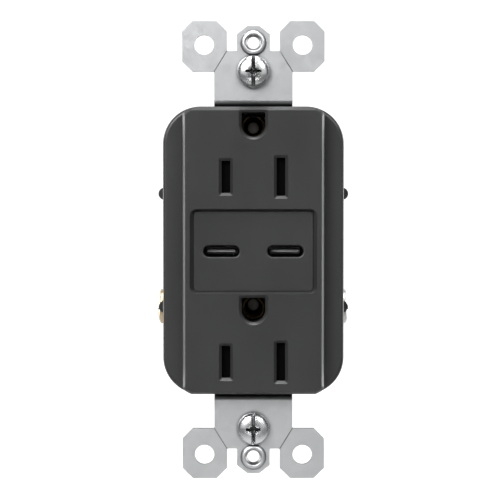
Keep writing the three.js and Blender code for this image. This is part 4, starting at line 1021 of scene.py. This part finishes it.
def assembly_screw(name, x, z):
    length = HOUSING_BACK_Y - ASSEMBLY_SINK + GAP - ASSEMBLY_TIP_Y
    tip = -ASSEMBLY_HEAD_HIGH - length
    profile = dome_profile(ASSEMBLY_HEAD_RADIUS, ASSEMBLY_HEAD_HIGH, 0.5, ASSEMBLY_SHANK, length)
    thread = (tip + 0.2, tip + ASSEMBLY_THREAD_LENGTH, ASSEMBLY_PITCH, ASSEMBLY_THREAD_DEPTH)
    screw = turned(f"assembly_screw_{name}", profile, 32, thread)
    for wing in cross_cutter(1.15, 1.0):
        cut(screw, wing)
    place(screw, (x, HOUSING_BACK_Y - ASSEMBLY_SINK + GAP + ASSEMBLY_HEAD_HIGH, z))
    finish_edges(screw, 0.04, 1, 50, 70)
    return own(screw, "root", "screw_steel", f"assembly_screw_{name}")


# ---------------------------------------------------------------- rear housing
def rear_housing():
    width, height, wall, radius = HOUSING_WIDTH, HOUSING_HEIGHT, HOUSING_WALL, HOUSING_RADIUS
    front, back = HOUSING_FRONT_Y, HOUSING_BACK_Y
    front_rounded = rounded_layers(
        lambda d: rounded_rect(width - 2 * d, height - 2 * d, radius - d, steps=12),
        front, back, HOUSING_ROUND, 5, False)
    back_rounded = [(front + back - y, outline) for y, outline in reversed(front_rounded)]
    housing = layered("rear_housing", back_rounded)
    room = rounded_rect(width - 2 * wall, height - 2 * wall, radius - wall, steps=10)
    cut(housing, prism("room", room, front - BEYOND, back - wall))
    pocket_back = TERMINAL_Y + POCKET_PAST_SCREW
    pocket_y = (front - BEYOND, pocket_back)
    shell_y = (front, pocket_back + POCKET_WALL)
    shells, rooms = [], []
    for side in (-1, 1):
        low, high = TERMINAL_Z - POCKET_HALF, TERMINAL_Z + POCKET_HALF
        shell_x = (side * (POCKET_INNER - POCKET_WALL), side * width / 2)
        shells.append(block("shell", shell_x, shell_y, (low - POCKET_WALL, high + POCKET_WALL)))
        pocket_x = (side * POCKET_INNER, side * (width / 2 + BEYOND))
        rooms.append(block("pocket", pocket_x, pocket_y, (low, high)))
    left, bottom = GROUND_POCKET_LEFT, GROUND_POCKET_BOTTOM
    shell_x = (left - POCKET_WALL, width / 2 - GROUND_POCKET_RIGHT_WALL)
    shells.append(block("shell", shell_x, shell_y, (bottom - POCKET_WALL, height / 2)))
    rooms.append(block("pocket", (left, width), pocket_y, (bottom, height)))
    for x, z in ASSEMBLY_SPOTS.values():
        shells.append(prism("boss", circle(x, z, BOSS_RADIUS), front, back - 0.2))
        rooms.append(prism("hole", circle(x, z, ASSEMBLY_SHANK + 0.15), front - BEYOND, back + BEYOND))
        sink = circle(x, z, ASSEMBLY_HEAD_RADIUS + 0.2, 36)
        rooms.append(prism("sink", sink, back - ASSEMBLY_SINK, back + BEYOND))
    half = NECK_HALF + 0.1
    rooms.append(block("strap", (-half, half), (front - 1, SEAT_Y + SHEET + 0.1), (-height, height)))
    rivet = circle(0, GROUND_CENTRES_Z["upper"], RIVET_ROOM_RADIUS)
    rooms.append(prism("rivet", rivet, front - 1, RIVET_ROOM_BACK_Y))
    for x in VENTS_X:
        vent = rounded_rect(VENT_WIDTH, VENT_HEIGHT, 0.48, x, VENT_Z, 6)
        rooms.append(prism("vent", vent, back - VENT_DEEP, back + BEYOND))
    for shell in shells:
        join(housing, shell)
    for room in rooms:
        cut(housing, room)
    finish_edges(housing, 0.12, 2, 35)
    return own(housing, "root", "black_plastic", "rear_housing")


# ---------------------------------------------------------------- inner pieces
def shutter_spring(name, z):
    steps = SPRING_TURNS * 16
    path = []
    for k in range(steps + 1):
        t = k / steps
        a = 2 * math.pi * SPRING_TURNS * t
        x = SPRING_FROM_X + SPRING_WIRE + t * (SPRING_TO_X - SPRING_FROM_X - 2 * SPRING_WIRE)
        path.append((x, SPRING_Y + SPRING_RADIUS * math.cos(a), z + SPRING_RADIUS * math.sin(a)))
    spring = wire(f"shutter_spring_{name}", path, SPRING_WIRE)
    finish_edges(spring, 0)
    own(spring, "root", "spring_steel", f"shutter_spring_{name}")
    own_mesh(spring)


def refined(node, slot_name):
    """A copy of a CAD node with its edges broken, standing for that node."""
    piece = bpy.data.objects.new("fine_" + node, frame["nodes"][node].data.copy())
    bpy.context.scene.collection.objects.link(piece)
    face_outwards(piece)
    finish_edges(piece, 0.1, 2, 35)
    body = frame["nodes"][node]["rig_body"]
    return own(piece, body, slot_name, node)


NODE_SLOTS = {
    "carrier_plastic": ["contact_carrier"],
    "shutter_plastic": ["shutter_upper", "shutter_lower"],
    "black_plastic": ["shutter_retainer_upper", "shutter_retainer_lower"],
    "vulcanised_fibre": ["insulation_sheet"],
    "contact_brass": ["hot_bus", "neutral_bus", "ground_contact_upper", "ground_contact_lower"],
    "terminal_nickel": ["ground_rivet_upper", "ground_rivet_lower"],
    "circuit_board": ["usb_board", "power_board"],
    "wire_white": ["board_ribbon", "neutral_lead"],
    "wire_black": ["hot_lead"],
    "ferrite": ["transformer_core", "choke"],
    "winding_tape": ["transformer_winding"],
    "capacitor_sleeve": [
        "bulk_capacitor_left",
        "bulk_capacitor_right",
        "output_capacitor_left",
        "output_capacitor_right",
    ],
    "blue_coating": ["varistor", "safety_capacitor"],
    "fuse_ceramic": ["fuse"],
    "chip_black": ["bridge_rectifier", "power_controller", "usb_controller"],
}


# ---------------------------------------------------------------- light, floor and camera
def stage_surface():
    """A pale floor that turns into a white wall, which glows more the further back it is."""
    s = Surface("stage", (0.46, 0.46, 0.46), 0.9)
    cloud = s.noise(400, 2)
    s.set("Base Color", s.blend(s.spread(cloud, 0.3, 0.7), (0.45, 0.45, 0.45, 1), (0.47, 0.47, 0.47, 1)))
    depth = s.add("SeparateXYZ", {"Vector": s.where}).outputs["Y"]
    s.set("Emission Color", (1, 1, 1, 1))
    s.set("Emission Strength", s.spread(depth, 0.12, 0.40, 0.0, 0.85))
    return s.material


def backdrop():
    """A floor that curves up into a wall, well behind and below the outlet."""
    path = [(-1500, -200), *arc(700, 100, 300, -90, 0, 15), (1000, 1500)]
    points, faces = [], []
    for x in (-1800, 1800):
        points += [(x, y, z) for y, z in path]
    for k in range(len(path) - 1):
        faces.append((k, k + 1, k + 1 + len(path), k + len(path)))
    mesh = bpy.data.meshes.new("backdrop")
    mesh.from_pydata([tuple(c * MM for c in p) for p in points], [], faces)
    obj = bpy.data.objects.new("backdrop", mesh)
    bpy.context.scene.collection.objects.link(obj)
    for polygon in mesh.polygons:
        polygon.use_smooth = True
    mesh.materials.append(stage_surface())


def softbox(name, at, size, watts, aim=(0, 0, 0)):
    light = bpy.data.lights.new(name, "AREA")
    light.spread = math.radians(60)
    light.shape = "RECTANGLE"
    light.size, light.size_y = size
    light.energy = watts
    obj = bpy.data.objects.new(name, light)
    bpy.context.scene.collection.objects.link(obj)
    obj.location = at
    obj.rotation_euler = (Vector(aim) - Vector(at)).to_track_quat("-Z", "Y").to_euler()


def falloff(tree, value, full, none, at_full, at_none):
    """A value that changes between two closenesses to a direction, 1 being straight along it."""
    node = tree.nodes.new("ShaderNodeMapRange")
    limits = {"From Min": full, "From Max": none, "To Min": at_full, "To Max": at_none}
    for name, limit in limits.items():
        node.inputs[name].default_value = limit
    tree.links.new(value, node.inputs["Value"])
    return node.outputs["Result"]


def studio():
    """A white tent with a dark opening at the camera, dim sides and back, and softboxes."""
    world = bpy.data.worlds.new("studio")
    world.use_nodes = True
    tree = world.node_tree
    closeness = tree.nodes.new("ShaderNodeVectorMath")
    closeness.operation = "DOT_PRODUCT"
    closeness.inputs[1].default_value = Vector((0, -1, -0.09)).normalized()
    tree.links.new(tree.nodes.new("ShaderNodeTexCoord").outputs["Generated"], closeness.inputs[0])
    to_front = closeness.outputs["Value"]
    strength = tree.nodes.new("ShaderNodeMath")
    strength.operation = "MULTIPLY"
    tree.links.new(falloff(tree, to_front, 0.985, 0.90, 0.03, TENT_LIGHT), strength.inputs[0])
    tree.links.new(falloff(tree, to_front, 0.55, 0.30, 1.0, 0.15), strength.inputs[1])
    tree.links.new(strength.outputs["Value"], tree.nodes["Background"].inputs["Strength"])
    tree.nodes["Background"].inputs["Color"].default_value = (1, 1, 1, 1)
    bpy.context.scene.world = world
    bpy.context.scene.view_settings.view_transform = "Standard"
    softbox("key_left", (-0.40, -0.58, 0.44), (0.35, 0.45), 1.1)
    softbox("key_right", (0.42, -0.56, 0.46), (0.22, 0.3), 0.3)
    softbox("side_left", (-0.50, 0.34, 0.08), (0.3, 0.6), 0.4)
    softbox("side_right", (0.50, 0.34, 0.04), (0.3, 0.6), 0.4)
    softbox("top", (0.0, -0.12, 0.62), (0.5, 0.4), 0.8)
    softbox("fill_low", (0.0, -0.56, -0.26), (0.6, 0.16), 0.4, (0, 0, -0.04))


def camera():
    """Two degrees above the middle of the strap's front, from far enough away to look almost flat."""
    aim = Vector((-0.79, STRAP_FRONT_Y, 0.15))
    elevation = math.radians(2)
    data = bpy.data.cameras.new("camera")
    data.sensor_width = 36
    data.lens = 117.6
    data.clip_start = 0.01
    obj = bpy.data.objects.new("camera", data)
    bpy.context.scene.collection.objects.link(obj)
    at = aim + CAMERA_DISTANCE * Vector((0, -math.cos(elevation), math.sin(elevation)))
    obj.location = at * MM
    obj.rotation_euler = (aim - at).to_track_quat("-Z", "Y").to_euler()
    bpy.context.scene.camera = obj


# ---------------------------------------------------------------- everything in place
front_cover()
usb_panel()
usb_port("left", -1)
usb_port("right", 1)
mounting_strap()
rear_housing()
for end_name, end_sign in (("top", 1), ("bottom", -1)):
    mounting_screw(end_name, end_sign)
    screw_retainer(end_name, end_sign)
for terminal_name, terminal_slot, hand in (("hot", "terminal_brass", -1), ("neutral", "terminal_nickel", 1)):
    head_at = (hand * TERMINAL_TOP, TERMINAL_Y, TERMINAL_Z)
    terminal(terminal_name, terminal_slot, head_at, (0, 0, -90 * hand), TERMINAL_HEAD_RADIUS, 7.6)
ground_head_at = (GROUND_SCREW_X, TERMINAL_Y, GROUND_SCREW_TOP)
terminal("ground", "ground_green", ground_head_at, (90, 0, 0), GROUND_HEAD_RADIUS, 5.0)
for spot_name, (spot_x, spot_z) in ASSEMBLY_SPOTS.items():
    assembly_screw(spot_name, spot_x, spot_z)
for receptacle, slot_z in SLOT_CENTRES_Z.items():
    shutter_spring(receptacle, slot_z)
for node_slot, node_names in NODE_SLOTS.items():
    for node_name in node_names:
        refined(node_name, node_slot)
backdrop()
studio()
camera()
